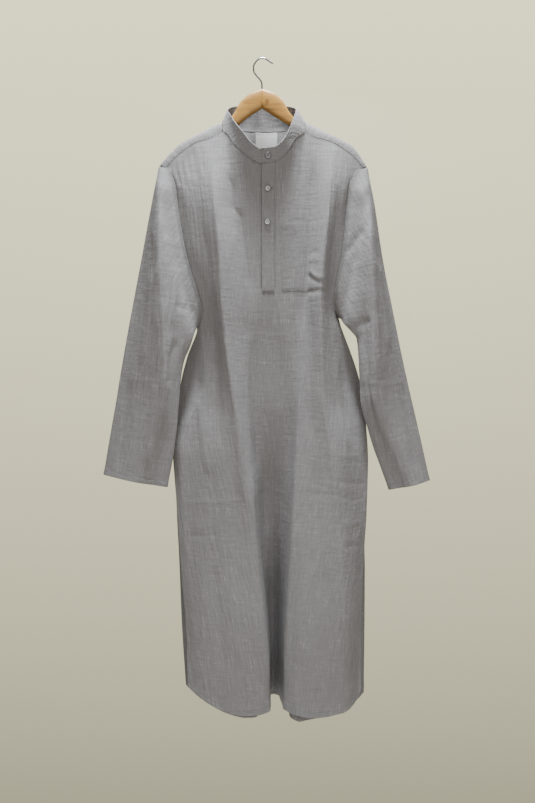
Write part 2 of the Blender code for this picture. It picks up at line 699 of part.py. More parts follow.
def point_on(grid, normals, x, z):
    # the place on a panel at this x and z, and the way out of it
    for i in range(len(grid) - 1):
        for j in range(len(grid[0]) - 1):
            cells = (((i, j), (i, j + 1), (i + 1, j + 1)), ((i, j), (i + 1, j + 1), (i + 1, j)))
            for cell in cells:
                a, b, c = [grid[r][s] for r, s in cell]
                whole = (b.x - a.x) * (c.z - a.z) - (c.x - a.x) * (b.z - a.z)
                if abs(whole) < 1e-9:
                    continue
                v = ((x - a.x) * (c.z - a.z) - (c.x - a.x) * (z - a.z)) / whole
                w = ((b.x - a.x) * (z - a.z) - (x - a.x) * (b.z - a.z)) / whole
                if v >= -1e-6 and w >= -1e-6 and v + w <= 1 + 1e-6:
                    u = 1 - v - w
                    na, nb, nc = [normals[r][s] for r, s in cell]
                    return a * u + b * v + c * w, (na * u + nb * v + nc * w).normalized()
    return None


def face_front(normals):
    # every normal of a panel points to the front, towards -Y
    total = sum((n.y for line in normals for n in line), 0.0)
    if total > 0:
        for line in normals:
            for n in line:
                n.negate()


def button(name, place, out):
    profile = [(BUTTON_RADIUS * r, BUTTON_THICK / 2 * h) for r, h in BUTTON_SECTION]
    count = BUTTON_SIDES
    right = Vector((1, 0, 0)) - out * out.x
    right.normalize()
    up = out.cross(right)
    verts = []
    for r, h in profile:
        for s in range(count):
            turn = 2 * math.pi * s / count
            verts.append(place + right * (r * math.cos(turn)) + up * (r * math.sin(turn)) + out * h)
    last = len(profile) - 1
    faces = [tuple(range(count)), tuple(reversed(range(last * count, (last + 1) * count)))]
    for k in range(last):
        for s in range(count):
            n = (s + 1) % count
            faces.append((k * count + s, k * count + n, (k + 1) * count + n, (k + 1) * count + s))
    add_object(name, verts, faces, "button")


def hanger_half(side):
    # rounded section lofted along the arm, with a flat mitre at the middle
    out = -1 if side == "l" else 1
    verts = []
    stations = HANGER[side]
    for n, (x, top, low) in enumerate(stations):
        wide = HANGER_HALF * (HANGER_TIP if n == len(stations) - 1 else 1.0)
        across = max(x, GAP / 2) * out
        for y, down in HANGER_SECTION:
            verts.append(Vector((across, y * wide, top + (low - top) * down)))
    count = len(HANGER_SECTION)
    faces = [tuple(range(count)),
             tuple(range((len(stations) - 1) * count, len(stations) * count))]
    for k in range(len(stations) - 1):
        for s in range(count):
            n = (s + 1) % count
            faces.append((k * count + s, k * count + n, (k + 1) * count + n, (k + 1) * count + s))
    arm = add_object("hanger_left" if side == "l" else "hanger_right", verts, faces, "wood")
    bore_for_wire(arm, "bore_" + side)


def bore_for_wire(arm, name):
    bore = bpy.data.meshes.new(name)
    shape = bmesh.new()
    bmesh.ops.create_cone(shape, cap_ends=True, segments=BORE_SIDES, radius1=WIRE_HOLE * MM,
                          radius2=WIRE_HOLE * MM, depth=BORE_DEPTH * MM)
    shape.to_mesh(bore)
    shape.free()
    cutter = bpy.data.objects.new(name, bore)
    bpy.context.scene.collection.objects.link(cutter)
    cutter.location = (0, 0, (WIRE_FOOT - BORE_SPARE + BORE_DEPTH / 2) * MM)
    cutter.hide_render = True
    cutter.display_type = "WIRE"
    cut = arm.modifiers.new("wire_bore", "BOOLEAN")
    cut.operation = "DIFFERENCE"
    cut.object = cutter
    cut.solver = "EXACT"


def hook():
    path = evenly([Vector((x, 0, z)) for x, z in HOOK], WIRE_STEPS)
    count = WIRE_SIDES
    verts = []
    for n, p in enumerate(path):
        way = path[min(n + 1, len(path) - 1)] - path[max(n - 1, 0)]
        way.normalize()
        side = Vector((0, 1, 0))
        up = way.cross(side)
        for s in range(count):
            turn = 2 * math.pi * (s + 0.5) / count
            verts.append(p + side * (WIRE_RADIUS * math.cos(turn))
                         + up * (WIRE_RADIUS * math.sin(turn)))
    last = len(path) - 1
    faces = [tuple(range(count)), tuple(range(last * count, (last + 1) * count))]
    for k in range(last):
        for s in range(count):
            n = (s + 1) % count
            faces.append((k * count + s, k * count + n, (k + 1) * count + n, (k + 1) * count + s))
    add_object("hook", verts, faces, "steel")


def neckline(front, back):
    # round the neck from the under end, by the back, to the over end
    fold = {name: 2 * k for k, name in enumerate(FRONT_FOLDS)}
    left = front[fold["neck_l"]:fold["placket_r"] + 1]
    right = front[fold["placket_l"]:fold["neck_r"] + 1]
    first = 2 * BACK_FOLDS.index("neck_a_l") + 1
    final = 2 * BACK_FOLDS.index("neck_a_r") - 1
    return left[::-1] + back[first:final + 1] + right[::-1]


def collar_seat(front, front_n, back, back_n):
    # the band's lower edge: just off the panels' cut edge, in their surface
    points = neckline(front[0], back[0])
    outs = neckline(front_n[0], back_n[0])
    seat = []
    for k, p in enumerate(points):
        run = points[min(k + 1, len(points) - 1)] - points[max(k - 1, 0)]
        off = run.cross(outs[k]).normalized()
        if off.dot(Vector((NECK_MIDDLE_X, 0, p.z + NECK_ABOVE)) - p) < 0:
            off.negate()
        seat.append(p + off * (CLOTH / 2 + GAP) + Vector((0, 0, COLLAR_LIFT)))
    return seat


def collar_grid(low):
    high = spread([Vector(r[1:4]) for r in COLLAR], [r[4] for r in COLLAR[:-1]])
    shift = [0.0] * len(low)
    shift[0:4] = [COLLAR_UNDER, COLLAR_UNDER, COLLAR_UNDER, COLLAR_UNDER / 2]
    shift[-4:] = [COLLAR_OVER / 2, COLLAR_OVER, COLLAR_OVER, COLLAR_OVER]
    grid = []
    for t in COLLAR_ROWS:
        line = []
        for a, b, s in zip(low, high, shift):
            line.append(a.lerp(b, t) + Vector((0, s, 0)))
        grid.append(line)
    return grid


def placket(front, normals):
    first = 2 * FRONT_FOLDS.index("placket_l")
    final = 2 * FRONT_FOLDS.index("placket_r")
    end = 2 + LEVELS.index(PLACKET_END)
    strip, strip_n = cut_out(front, normals, (0, end), (first, final), LAP)
    cloth("placket", strip, strip_n)
    return strip, strip_n


def chest_pocket(front, normals):
    first = 2 * FRONT_FOLDS.index("wall_r")
    final = 2 * FRONT_FOLDS.index("slope_r")
    start = 2 + LEVELS.index(POCKET_TOP)
    end = 2 + LEVELS.index(POCKET_END)
    patch, patch_n = cut_out(front, normals, (start, end), (first, final), LAP)
    cloth("chest_pocket", patch, patch_n)


def buttons(strip, strip_n, band, band_n):
    seat = CLOTH / 2 + 2 * GAP + BUTTON_THICK / 2
    for name, x, z in BUTTONS:
        place, out = point_on(strip, strip_n, x, z)
        button(name, place + out * seat, out)
    name, x, z = COLLAR_BUTTON
    lap = [line[-COLLAR_LAP:] for line in band]
    lap_n = [line[-COLLAR_LAP:] for line in band_n]
    place, out = point_on(lap, lap_n, x, z)
    if out.y > 0:
        out = -out
    button(name, place + out * seat, out)


def neck_label(back, normals):
    # a small sheet that follows the inside of the back below the neckline
    tag = []
    tag_n = []
    for i in range(LABEL_ROWS + 1):
        z = LABEL_TOP + (LABEL_BOTTOM - LABEL_TOP) * i / LABEL_ROWS
        line = []
        ns = []
        for j in range(LABEL_COLUMNS + 1):
            x = LABEL_LEFT + (LABEL_RIGHT - LABEL_LEFT) * j / LABEL_COLUMNS
            place, out = point_on(back, normals, x, z)
            line.append(place + out * (CLOTH / 2 + GAP + LABEL_LIFT))
            ns.append(out)
        tag.append(line)
        tag_n.append(ns)
    cloth("neck_label", tag, tag_n, colour="label", thick=LABEL_THICK)


def build():
    clear_scene()
    back = back_grid()
    back_n = surface_normals(back)
    face_front(back_n)
    cloth("back", back, back_n)

    front = front_grid(back[0])
    front_n = surface_normals(front)
    face_front(front_n)
    cloth("front", front, front_n)

    for side, name in (("l", "sleeve_left"), ("r", "sleeve_right")):
        rings = sleeve_rings(side)
        cloth(name, rings, surface_normals(rings, True), round_shape=True)

    band = collar_grid(collar_seat(front, front_n, back, back_n))
    band_n = surface_normals(band)
    cloth("collar", band, band_n)

    strip, strip_n = placket(front, front_n)
    chest_pocket(front, front_n)
    buttons(strip, strip_n, band, band_n)
    neck_label(back, back_n)

    hanger_half("l")
    hanger_half("r")
    hook()


build()
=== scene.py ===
from collections import namedtuple
import math
import bmesh
import bpy
import numpy as np
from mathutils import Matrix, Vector
from mathutils.bvhtree import BVHTree


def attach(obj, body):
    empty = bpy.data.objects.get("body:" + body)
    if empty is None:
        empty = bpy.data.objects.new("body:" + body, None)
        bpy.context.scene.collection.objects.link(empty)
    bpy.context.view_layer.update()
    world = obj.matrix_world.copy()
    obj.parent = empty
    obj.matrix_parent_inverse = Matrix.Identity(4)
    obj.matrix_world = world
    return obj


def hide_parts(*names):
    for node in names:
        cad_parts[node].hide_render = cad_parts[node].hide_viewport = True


# Looks for the kurta tunic on its hanger. Tables are in millimetres, as in the
# part's source, and meshes are written in metres. +Z is up, the front faces -Y.

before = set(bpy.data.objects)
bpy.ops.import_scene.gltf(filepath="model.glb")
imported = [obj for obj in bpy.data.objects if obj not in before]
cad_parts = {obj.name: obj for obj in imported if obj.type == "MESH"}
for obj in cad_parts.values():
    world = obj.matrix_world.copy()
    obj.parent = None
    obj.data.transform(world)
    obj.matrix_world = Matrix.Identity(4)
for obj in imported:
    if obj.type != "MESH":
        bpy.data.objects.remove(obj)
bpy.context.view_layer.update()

MM = 0.001

# Cloth sizes in mm
CLOTH = 1.2            # wall thickness
GAP = 0.3              # clearance between neighbouring pieces
SEAM_STEP = 0.75       # half the distance between two panels' middles at a seam

# Label, hook and hanger sizes in mm
LABEL_LEFT = -13.0
LABEL_RIGHT = 31.0
LABEL_TOP = -137.0
LABEL_BOTTOM = -169.0
WIRE_RADIUS = 1.75
WIRE_FOOT = -82.0
HANGER_HALF = 6.0
CUFF_STEPS = 17
SLEEVE_ROUND = 22

# Heights of the grid's rows below the neck
LEVELS = (-262, -297, -331, -365, -399, -433, -467, -505, -545, -590, -640, -690,
          -740, -790, -840, -880, -925, -970, -1015, -1060, -1105, -1150, -1195)
BACK_SKIPS = (-262, -331, -399)
PLACKET_END = -467
POCKET_TOP = -331
POCKET_END = -467

# The front panel's folds, from left to right
FRONT_FOLDS = ("edge_l", "roll_l", "slope_l", "crest_l", "neck_l", "rim_l",
               "wall_l", "placket_l", "placket_r", "wall_r", "neck_r", "rim_r",
               "mid_r", "crest_r", "slope_r", "roll_r", "edge_r")

# Top of each fold: x, y, z on the shoulder seams and along the neckline
FRONT_TOP = {
    "edge_l": (-192, -10, -223), "roll_l": (-166, -12, -196),
    "slope_l": (-131, -12, -172), "crest_l": (-101, -12, -156),
    "neck_l": (-78, -13, -150), "rim_l": (-59, -25, -177),
    "wall_l": (-31, -34, -204), "placket_l": (0, -40, -224),
    "placket_r": (24, -40, -220), "wall_r": (51, -33, -197),
    "neck_r": (87, -13, -150), "rim_r": (107, -13, -158),
    "mid_r": (123, -13, -165), "crest_r": (139, -13, -171),
    "slope_r": (161, -12, -183), "roll_r": (182, -12, -200),
    "edge_r": (201, -10, -221),
}

# z, then x of each fold between the two edges
FRONT_X = (
    (-288, -150, -125, -93, -74, -56, -29, 0, 24, 42, 73, 102, 114, 133, 150, 161),
    (-386, -134, -110, -82, -59, -33, -18, 0, 24, 40, 67, 92, 104, 122, 136, 149),
    (-485, -108, -93, -77, -51, -24, -12, 0, 24, 39, 61, 84, 98, 114, 128, 136),
    (-544, -101, -86, -72, -51, -29, -15, 0, 24, 42, 63, 81, 98, 115, 132, 147),
    (-613, -104, -84, -64, -47, -29, -18, 0, 24, 46, 64, 78, 97, 116, 140, 155),
    (-682, -129, -94, -54, -41, -27, -16, 0, 24, 50, 64, 75, 96, 119, 149, 173),
    (-781, -165, -109, -42, -32, -23, -12, 2, 24, 45, 59, 70, 98, 132, 166, 198),
    (-879, -160, -109, -33, -25, -19, -10, 3, 24, 42, 53, 65, 101, 143, 173, 202),
    (-997, -147, -102, -36, -21, -10, -4, 8, 23, 38, 48, 58, 100, 151, 174, 193),
    (-1135, -132, -94, -36, -12, 5, 8, 12, 24, 38, 44, 49, 97, 156, 174, 187),
)

# z, then depth y of each fold
FRONT_Y = (
    (-288, -20, -26, -36, -30, -22, -20, -24, -24, -20, -16, -18, -26, -34, -24, -18),
    (-386, -20, -28, -42, -31, -18, -16, -16, -16, -16, -15, -17, -26, -36, -24, -16),
    (-485, -18, -30, -42, -31, -18, -16, -14, -14, -14, -15, -17, -28, -38, -24, -14),
    (-544, -13, -26, -40, -31, -18, -14, -10, -10, -12, -13, -17, -28, -38, -24, -12),
    (-613, -12, -22, -40, -32, -20, -10, -6, -6, -8, -12, -18, -29, -38, -24, -12),
    (-682, -14, -22, -40, -33, -22, -8, -4, -4, -6, -12, -20, -30, -40, -24, -12),
    (-781, -12, -30, -42, -38, -30, -4, 4, 6, 2, -8, -25, -36, -46, -36, -12),
    (-879, -16, -34, -44, -44, -40, -10, 16, 21, 8, -10, -32, -43, -52, -40, -16),
    (-997, -24, -40, -50, -50, -44, -6, 21, 35, 10, -12, -38, -53, -63, -49, -26),
    (-1135, -34, -51, -61, -59, -50, 0, 36, 50, 15, -14, -43, -65, -72, -60, -39),
)

# Bottom of each fold at the hem: x, y, z
FRONT_HEM = {
    "edge_l": (-144, -30, -1243), "roll_l": (-125, -44, -1253),
    "slope_l": (-91, -58, -1270), "crest_l": (-36, -67, -1283),
    "neck_l": (-7, -64, -1283), "rim_l": (16, -54, -1279),
    "wall_l": (17, 0, -1282), "placket_l": (17, 46, -1286),
    "placket_r": (26, 59, -1287), "wall_r": (38, 10, -1286),
    "neck_r": (41, -18, -1286), "rim_r": (42, -46, -1279),
    "mid_r": (93, -72, -1285), "crest_r": (154, -74, -1274),
    "slope_r": (174, -62, -1264), "roll_r": (184, -50, -1256),
    "edge_r": (191, -44, -1241),
}

# The back panel's folds, from left to right
BACK_FOLDS = ("edge_l", "roll_l", "lobe_l", "neck_a_l", "neck_b_l", "neck_c_l",
              "wall_l", "centre", "wall_r", "neck_c_r", "neck_b_r", "neck_a_r",
              "lobe_r", "roll_r", "edge_r")

# Shoulder columns: x and z on the forward seam, then x and z on the ridge
BACK_SHOULDER = {
    "edge_l": (-192, -222.2, -203, -211.6), "roll_l": (-166, -195.2, -163, -171.4),
    "lobe_l": (-131, -171.2, -128, -152.0), "neck_a_l": (-79, -149.2, -89, -130.8),
    "neck_a_r": (87, -149.2, 96, -131.6), "lobe_r": (139, -170.2, 136, -152.4),
    "roll_r": (182, -199.2, 180, -176.0), "edge_r": (201, -220.2, 208, -214.0),
}

# Neck columns: x, y, z where they start on the back neckline
BACK_NECK = {
    "neck_b_l": (-80, 0, -129.3), "neck_c_l": (-73, 16, -128), "wall_l": (-45, 26, -130),
    "centre": (8, 30, -131), "wall_r": (57, 26, -130), "neck_c_r": (82, 16, -128),
    "neck_b_r": (88, 0, -129.5),
}

# z, then x of each fold between the back's two edges
BACK_X = (
    (-288, -160, -119, -87, -67, -48, -30, 8, 46, 65, 83, 103, 127, 153),
    (-386, -152, -114, -81, -61, -42, -24, 10, 45, 63, 81, 102, 124, 144),
    (-485, -131, -102, -73, -53, -34, -16, 14, 45, 63, 82, 102, 123, 139),
    (-544, -119, -99, -70, -50, -31, -14, 16, 45, 63, 82, 102, 125, 144),
    (-613, -137, -104, -70, -50, -31, -13, 18, 47, 66, 84, 105, 132, 161),
    (-682, -149, -108, -70, -48, -29, -13, 18, 49, 68, 86, 107, 138, 175),
    (-781, -153, -110, -69, -47, -29, -11, 18, 49, 67, 85, 108, 142, 185),
    (-879, -144, -104, -64, -42, -26, -13, 18, 49, 65, 82, 105, 143, 181),
    (-997, -138, -97, -57, -37, -24, -13, 20, 49, 62, 79, 104, 145, 177),
    (-1135, -129, -86, -46, -29, -16, -8, 22, 49, 58, 76, 101, 146, 176),
)

# z, then depth y of each fold
BACK_Y = (
    (-288, 23, 23, 23, 25, 27, 28, 30, 28, 27, 25, 23, 23, 23),
    (-386, 26, 28, 28, 29, 30, 30, 32, 30, 30, 29, 28, 28, 26),
    (-485, 28, 32, 32, 32, 32, 32, 34, 32, 32, 32, 32, 32, 28),
    (-544, 30, 36, 36, 36, 35, 34, 35, 34, 35, 36, 36, 36, 30),
    (-613, 40, 42, 41, 40, 38, 36, 37, 36, 38, 40, 41, 42, 40),
    (-682, 41, 42, 40, 39, 38, 37, 38, 37, 38, 39, 41, 42, 41),
    (-781, 27, 27, 25, 25, 26, 37, 42, 37, 27, 26, 25, 25, 25),
    (-879, 2, 0, -3, -1, 7, 34, 46, 34, 8, -3, -8, -12, -6),
    (-997, -6, -12, -18, -18, -8, 34, 54, 37, -8, -18, -26, -30, -20),
    (-1135, -12, -26, -32, -30, -20, 43, 68, 46, -20, -32, -42, -45, -32),
)

# Bottom of each fold at the back's hem: x, y, z
BACK_HEM = {
    "edge_l": (-151, -12, -1247), "roll_l": (-122, -24, -1267),
    "lobe_l": (-74, -38, -1289), "neck_a_l": (-36, -42, -1298),
    "neck_b_l": (-19, -38, -1300), "neck_c_l": (-8, -26, -1302),
    "wall_l": (1, 45, -1302), "centre": (23, 78, -1304), "wall_r": (49, 45, -1302),
    "neck_c_r": (55, -30, -1302), "neck_b_r": (72, -42, -1306),
    "neck_a_r": (97, -50, -1297), "lobe_r": (147, -52, -1286),
    "roll_r": (177, -42, -1271), "edge_r": (200, -26, -1255),
}

# Edges that the panels share: z, x, y
ARMHOLE_FRONT = {
    "l": ((-223, -192, -10), (-243, -174, -14), (-288, -168, -12), (-366, -156, -12),
          (-443, -136, -12), (-499, -119, -9), (-516, -118, -4), (-531, -124, 2.25)),
    "r": ((-221, 201, -10), (-247, 176, -14), (-288, 169, -12), (-386, 160, -12),
          (-463, 145, -11), (-485, 143, -8), (-500, 145, -2), (-515, 152, 2.25)),
}
ARMHOLE_BACK = {
    "l": ((-236, -191, 13), (-258, -184, 16), (-288, -181, 18), (-386, -171, 20),
          (-465, -152, 20), (-508, -132, 13), (-531, -124, 3.75)),
    "r": ((-238, 196, 13), (-262, 184, 16), (-288, 179, 18), (-386, 170, 20),
          (-450, 160, 20), (-485, 154, 15), (-515, 152, 3.75)),
}
SIDE_SEAM = {
    "l": ((-531, -124, 3), (-560, -138, 17), (-613, -159, 31), (-682, -172, 33),
          (-781, -180, 16), (-880, -171, -5)),
    "r": ((-515, 152, 3), (-545, 163, 15), (-613, 191, 31), (-682, 207, 33),
          (-781, 214, 15), (-880, 209, -9), (-970, 203, -14)),
}
SLIT_FRONT = {
    "l": ((-880, -171, -5.75), (-925, -167.5, -9), (-997, -162, -12), (-1135, -149, -21),
          (-1243, -144, -30)),
    "r": ((-970, 203, -14.75), (-1015, 200, -17), (-1135, 193, -26), (-1241, 191, -44)),
}
SLIT_BACK = {
    "l": ((-880, -171, -4.25), (-925, -169, -5), (-997, -165, -6), (-1135, -159, -8),
          (-1247, -151, -12)),
    "r": ((-970, 203, -13.25), (-1015, 204, -11), (-1135, 203, -14), (-1255, 200, -26)),
}

# Collar band: the top edge's x, y, z, and how many of the neckline's steps
# lie between this station and the next
COLLAR = (
    ("under_end", 24, -48.6, -194, 2),
    ("centre_under", 0, -49, -197, 2),
    ("front_l", -35, -42, -164, 2),
    ("cheek_l", -60, -24, -125, 4),
    ("side_l", -69, -2, -102, 2),
    ("behind_l", -57, 15, -89, 4),
    ("back", 2, 26, -81, 4),
    ("behind_r", 55, 15, -89, 2),
    ("side_r", 68, -2, -101, 2),
    ("cheek_r", 63, -21, -124, 2),
    ("front_r", 46, -41, -170, 2),
    ("centre_over", 24, -49, -194, 2),
    ("over_end", 0, -49.4, -197, 0),
)
COLLAR_LIFT = 0.5      # how far the whole band stands above the neckline
COLLAR_UNDER = 1.0     # how far the under end moves back, and the over end forward
COLLAR_OVER = -0.9

# Sleeves: outer fold x, z, inner fold x, z, where the crest lies across the
# width from 0 to 1, the crest's depth, the back's depth and the back's bow
SLEEVE = {
    "l": ((-210, -240, -130, -538, 0.13, -30, 14, -12),
          (-221, -295, -134, -548, 0.25, -40, 14, -5),
          (-233, -359, -138, -564, 0.38, -44, 13, -2),
          (-248, -443, -144, -581, 0.52, -45, 12, 0),
          (-263, -523, -154, -605, 0.67, -44, 11, 0),
          (-277, -602, -160, -638, 0.75, -42, 10, 0),
          (-291, -686, -165, -702, 0.78, -38, 9, 0),
          (-304, -762, -173, -779, 0.66, -34, 8, 0),
          (-315, -831, -187, -854, 0.55, -32, 7, 0)),
    "r": ((216, -252, 159, -523, 0.13, -30, 14, 14),
          (225, -297, 163, -531, 0.24, -40, 14, 6),
          (234, -357, 169, -540, 0.31, -44, 13, 2),
          (245, -423, 180, -549, 0.45, -45, 12, 0),
          (257, -485, 190, -565, 0.59, -45, 11, 0),
          (275, -576, 193, -623, 0.68, -44, 10, 0),
          (291, -650, 196, -682, 0.74, -40, 9, 0),
          (307, -720, 210, -741, 0.70, -36, 8, 0),
          (321, -782, 230, -801, 0.60, -33, 8, 0),
          (334, -842, 251, -859, 0.50, -32, 7, 0)),
}
SLEEVE_CLEAR = 1.6         # how far a sleeve's head stands outside the armhole
SHOULDER_ZONE = -260       # it has more room above this height
UNDERARM_FRONT = -482      # and below these two
UNDERARM_BACK = -440
SLEEVE_OUTER_Y = -4.0
SLEEVE_INNER_Y = -17.0

# Hanger arms: x, z of the top edge, z of the underside
HANGER = {
    "l": ((0, -60, -99), (24, -70, -114), (44, -88, -130), (54, -106, -137),
          (66, -123, -145), (80, -133.2, -154), (86, -134.0, -157.5),
          (122, -152.4, -177), (160, -173.8, -197), (184, -195.0, -212),
          (190, -202.5, -210)),
    "r": ((0, -60, -99), (27, -70, -116), (44, -88, -127), (53, -104, -132),
          (66, -120, -140), (80, -130.8, -149), (90, -133.6, -154.5),
          (138, -156.4, -179), (172, -174.6, -197), (186, -189.5, -206),
          (192, -198, -205)),
}

# Hook: x, z of the wire's middle, from its foot in the wood to its free end
HOOK = ((0, WIRE_FOOT), (0, -58.6), (-0.6, -48), (-4.4, -40.6), (-12, -32),
        (-16.6, -24), (-17, -16), (-14.6, -9.0), (-10, -3.0), (-4.8, 0.8),
        (0, 1.75), (4, 1.4), (9.6, -1.0), (16, -5.4), (22.4, -9.6))

# Buttons: name, x, z; the collar's height is where it stands on the finished band
BUTTONS = (("button_1", 12, -268), ("button_2", 11, -331))
COLLAR_BUTTON = ("button_collar", 12)
COLLAR_BUTTON_Z = -209.5
BUTTONHOLE_OF = "button_1"


def smooth_curve(xs, ys, x):
    # a curve through the points that never swings past them
    count = len(xs)
    if x <= xs[0]:
        return ys[0]
    if x >= xs[-1]:
        return ys[-1]
    h = [xs[i + 1] - xs[i] for i in range(count - 1)]
    d = [(ys[i + 1] - ys[i]) / h[i] for i in range(count - 1)]
    m = [d[0]]
    for i in range(1, count - 1):
        if d[i - 1] * d[i] <= 0:
            m.append(0.0)
        else:
            near = 2 * h[i] + h[i - 1]
            far = h[i] + 2 * h[i - 1]
            m.append((near + far) / (near / d[i - 1] + far / d[i]))
    m.append(d[-1])
    k = 0
    while k < count - 2 and x > xs[k + 1]:
        k += 1
    t = (x - xs[k]) / h[k]
    return (ys[k] * (1 + 2 * t) * (1 - t) ** 2 + h[k] * m[k] * t * (1 - t) ** 2
            + ys[k + 1] * t * t * (3 - 2 * t) + h[k] * m[k + 1] * t * t * (t - 1))


def spread(points, steps):
    # points along a smooth curve through the given ones, steps per interval
    at = [0.0]
    for a, b in zip(points, points[1:]):
        at.append(at[-1] + max((b - a).length, 0.01))
    out = []
    for k in range(len(points) - 1):
        for s in range(steps[k]):
            out.append(at[k] + (at[k + 1] - at[k]) * s / steps[k])
    out.append(at[-1])
    axes = [[p[c] for p in points] for c in range(3)]
    return [Vector([smooth_curve(at, axis, t) for axis in axes]) for t in out]


def evenly(points, count):
    # the same curve, cut into equal lengths
    fine = spread(points, [8] * (len(points) - 1))
    run = [0.0]
    for a, b in zip(fine, fine[1:]):
        run.append(run[-1] + (b - a).length)
    out = []
    k = 0
    for n in range(count + 1):
        want = run[-1] * n / count
        while k < len(run) - 2 and run[k + 1] < want:
            k += 1
        t = (want - run[k]) / max(run[k + 1] - run[k], 1e-9)
        out.append(fine[k].lerp(fine[k + 1], min(max(t, 0.0), 1.0)))
    return out


def on_edge(rows, z):
    rising = sorted(rows)
    zs = [r[0] for r in rising]
    return Vector((smooth_curve(zs, [r[1] for r in rising], z),
                   smooth_curve(zs, [r[2] for r in rising], z), z))


def panel_edge(side, arm, slit, step, z):
    # armhole, then side seam, then the slit down to the hem's corner
    seam = SIDE_SEAM[side]
    if z > seam[0][0]:
        return on_edge(arm[side], z)
    if z >= seam[-1][0]:
        point = on_edge(seam, z)
        point.y += step
        return point
    return on_edge(slit[side], z)


def fold_line(top, table_x, table_y, column, hem, z):
    rows = [(hem[2], hem[0], hem[1])]
    for rx, ry in zip(reversed(table_x), reversed(table_y)):
        if rx[0] < top[2] - 15:
            rows.append((rx[0], rx[column], ry[column]))
    rows.append((top[2], top[0], top[1]))
    return on_edge(rows, z)


def row_height(height, top, hem):
    # the height of a row at one fold: a level, or one that follows the ends
    named = {"top": top[2], "upper": (top[2] + LEVELS[0]) / 2,
             "lower": (hem[2] + LEVELS[-1]) / 2, "hem": hem[2]}
    return named.get(height, height)


def front_grid(seam):
    grid = []
    for height in ["top", "upper"] + list(LEVELS) + ["lower", "hem"]:
        line = []
        for k, name in enumerate(FRONT_FOLDS):
            top = FRONT_TOP[name]
            hem = FRONT_HEM[name]
            z = row_height(height, top, hem)
            if name.startswith("edge"):
                line.append(panel_edge(name[-1], ARMHOLE_FRONT, SLIT_FRONT, -SEAM_STEP, z))
            else:
                line.append(fold_line(top, FRONT_X, FRONT_Y, k, hem, z))
        grid.append(spread(line, [2] * (len(line) - 1)))
    tuck_under(grid[0], seam)
    return grid


def tuck_under(row, seam):
    # the shoulder seams run just under the back panel's forward edge
    left = 2 * FRONT_FOLDS.index("neck_l")
    right = 2 * FRONT_FOLDS.index("neck_r")
    first = 2 * BACK_FOLDS.index("neck_a_l") + 1
    final = 2 * (len(BACK_FOLDS) - 1 - BACK_FOLDS.index("neck_a_r")) + 1
    for j, p in enumerate(row):
        if left < j < right:
            continue
        over = along(seam[:first] if j <= left else seam[-final:], p.x)
        p.y = over.y
        p.z = over.z - 3 * GAP


def along(line, x):
    # the point at this x on a row of points
    for a, b in zip(line, line[1:]):
        if min(a.x, b.x) - 1e-6 <= x <= max(a.x, b.x) + 1e-6 and abs(b.x - a.x) > 1e-6:
            return a.lerp(b, (x - a.x) / (b.x - a.x))
    return line[0].copy() if abs(x - line[0].x) < abs(x - line[-1].x) else line[-1].copy()


def over_the_shoulder(name):
    # forward seam, over the ridge, and down behind the hanger's arm
    xs, zs, xr, zr = BACK_SHOULDER[name]
    if name.startswith("edge"):
        side = 1 if xs > 0 else -1
        return [Vector((xs, -10, zs)), Vector((xr - 2 * side, -7, zr - 3)),
                Vector((xr, 0, zr)), Vector((xr - 2.5 * side, 7.5, zr - 6)),
                Vector((xr - 8 * side, 11.5, zr - 15))]
    lean = 0.35 * (xs - xr)
    return [Vector((xs, -12, zs)), Vector((xr + lean, -9.2, zr - 3.8)),
            Vector((xr, 0, zr)), Vector((xr, 9.2, zr - 3.8)), Vector((xr, 14, zr - 20))]


def round_neck_corner(side, a, b):
    # the column between a shoulder's end and the side of the neck
    out = -1 if side == "l" else 1
    near = 79.5 if side == "l" else 87.5
    head = [Vector((near * out, -9.3, -134.5)), Vector(((near + 4) * out, -4.2, -130.4)),
            Vector(((near + 5.5) * out, 3.6, -130.0)),
            Vector(((near + 5.5) * out, 10.4, -134.0)),
            Vector(((near + 5) * out, 15.5, -150))]
    return head + [p.lerp(q, 0.4) for p, q in zip(a[5:], b[5:])]


def down_from_neck(name, below):
    start = Vector(BACK_NECK[name])
    if name.startswith("neck_b"):
        return [start, start + Vector((0, 5.5, -0.6)), start + Vector((0, 10.5, -3.5)),
                start + Vector((0, 14.5, -10)), start + Vector((0, 18, -23))]
    end = below(start.z - 26)
    return [start.lerp(end, t) for t in (0.0, 0.22, 0.45, 0.7, 1.0)]


def back_column(k, name, levels):
    hem = BACK_HEM[name]
    if name in BACK_SHOULDER:
        line = over_the_shoulder(name)
    else:
        start = BACK_NECK[name]
        line = down_from_neck(name, lambda z: fold_line(start, BACK_X, BACK_Y, k, hem, z))
    foot = line[-1]
    for z in [(foot.z + levels[0]) / 2] + levels + [(levels[-1] + hem[2]) / 2, hem[2]]:
        if name.startswith("edge"):
            line.append(panel_edge(name[-1], ARMHOLE_BACK, SLIT_BACK, SEAM_STEP, z))
        else:
            line.append(fold_line(foot, BACK_X, BACK_Y, k, hem, z))
    return line


def back_grid():
    levels = [z for z in LEVELS if z not in BACK_SKIPS]
    columns = [back_column(k, name, levels) for k, name in enumerate(BACK_FOLDS)]
    steps = [2] * (len(columns) - 1)
    for side in ("r", "l"):
        k = BACK_FOLDS.index("neck_b_" + side)
        n = BACK_FOLDS.index("neck_a_" + side)
        low = min(k, n)
        columns.insert(low + 1, round_neck_corner(side, columns[n], columns[k]))
        steps[low:low + 1] = [1, 1]
    return [spread([column[r] for column in columns], steps) for r in range(len(columns[0]))]


def ring_of(fore, rear):
    half = SLEEVE_ROUND // 2
    return evenly(fore, half)[:-1] + evenly(rear, half)[:-1]


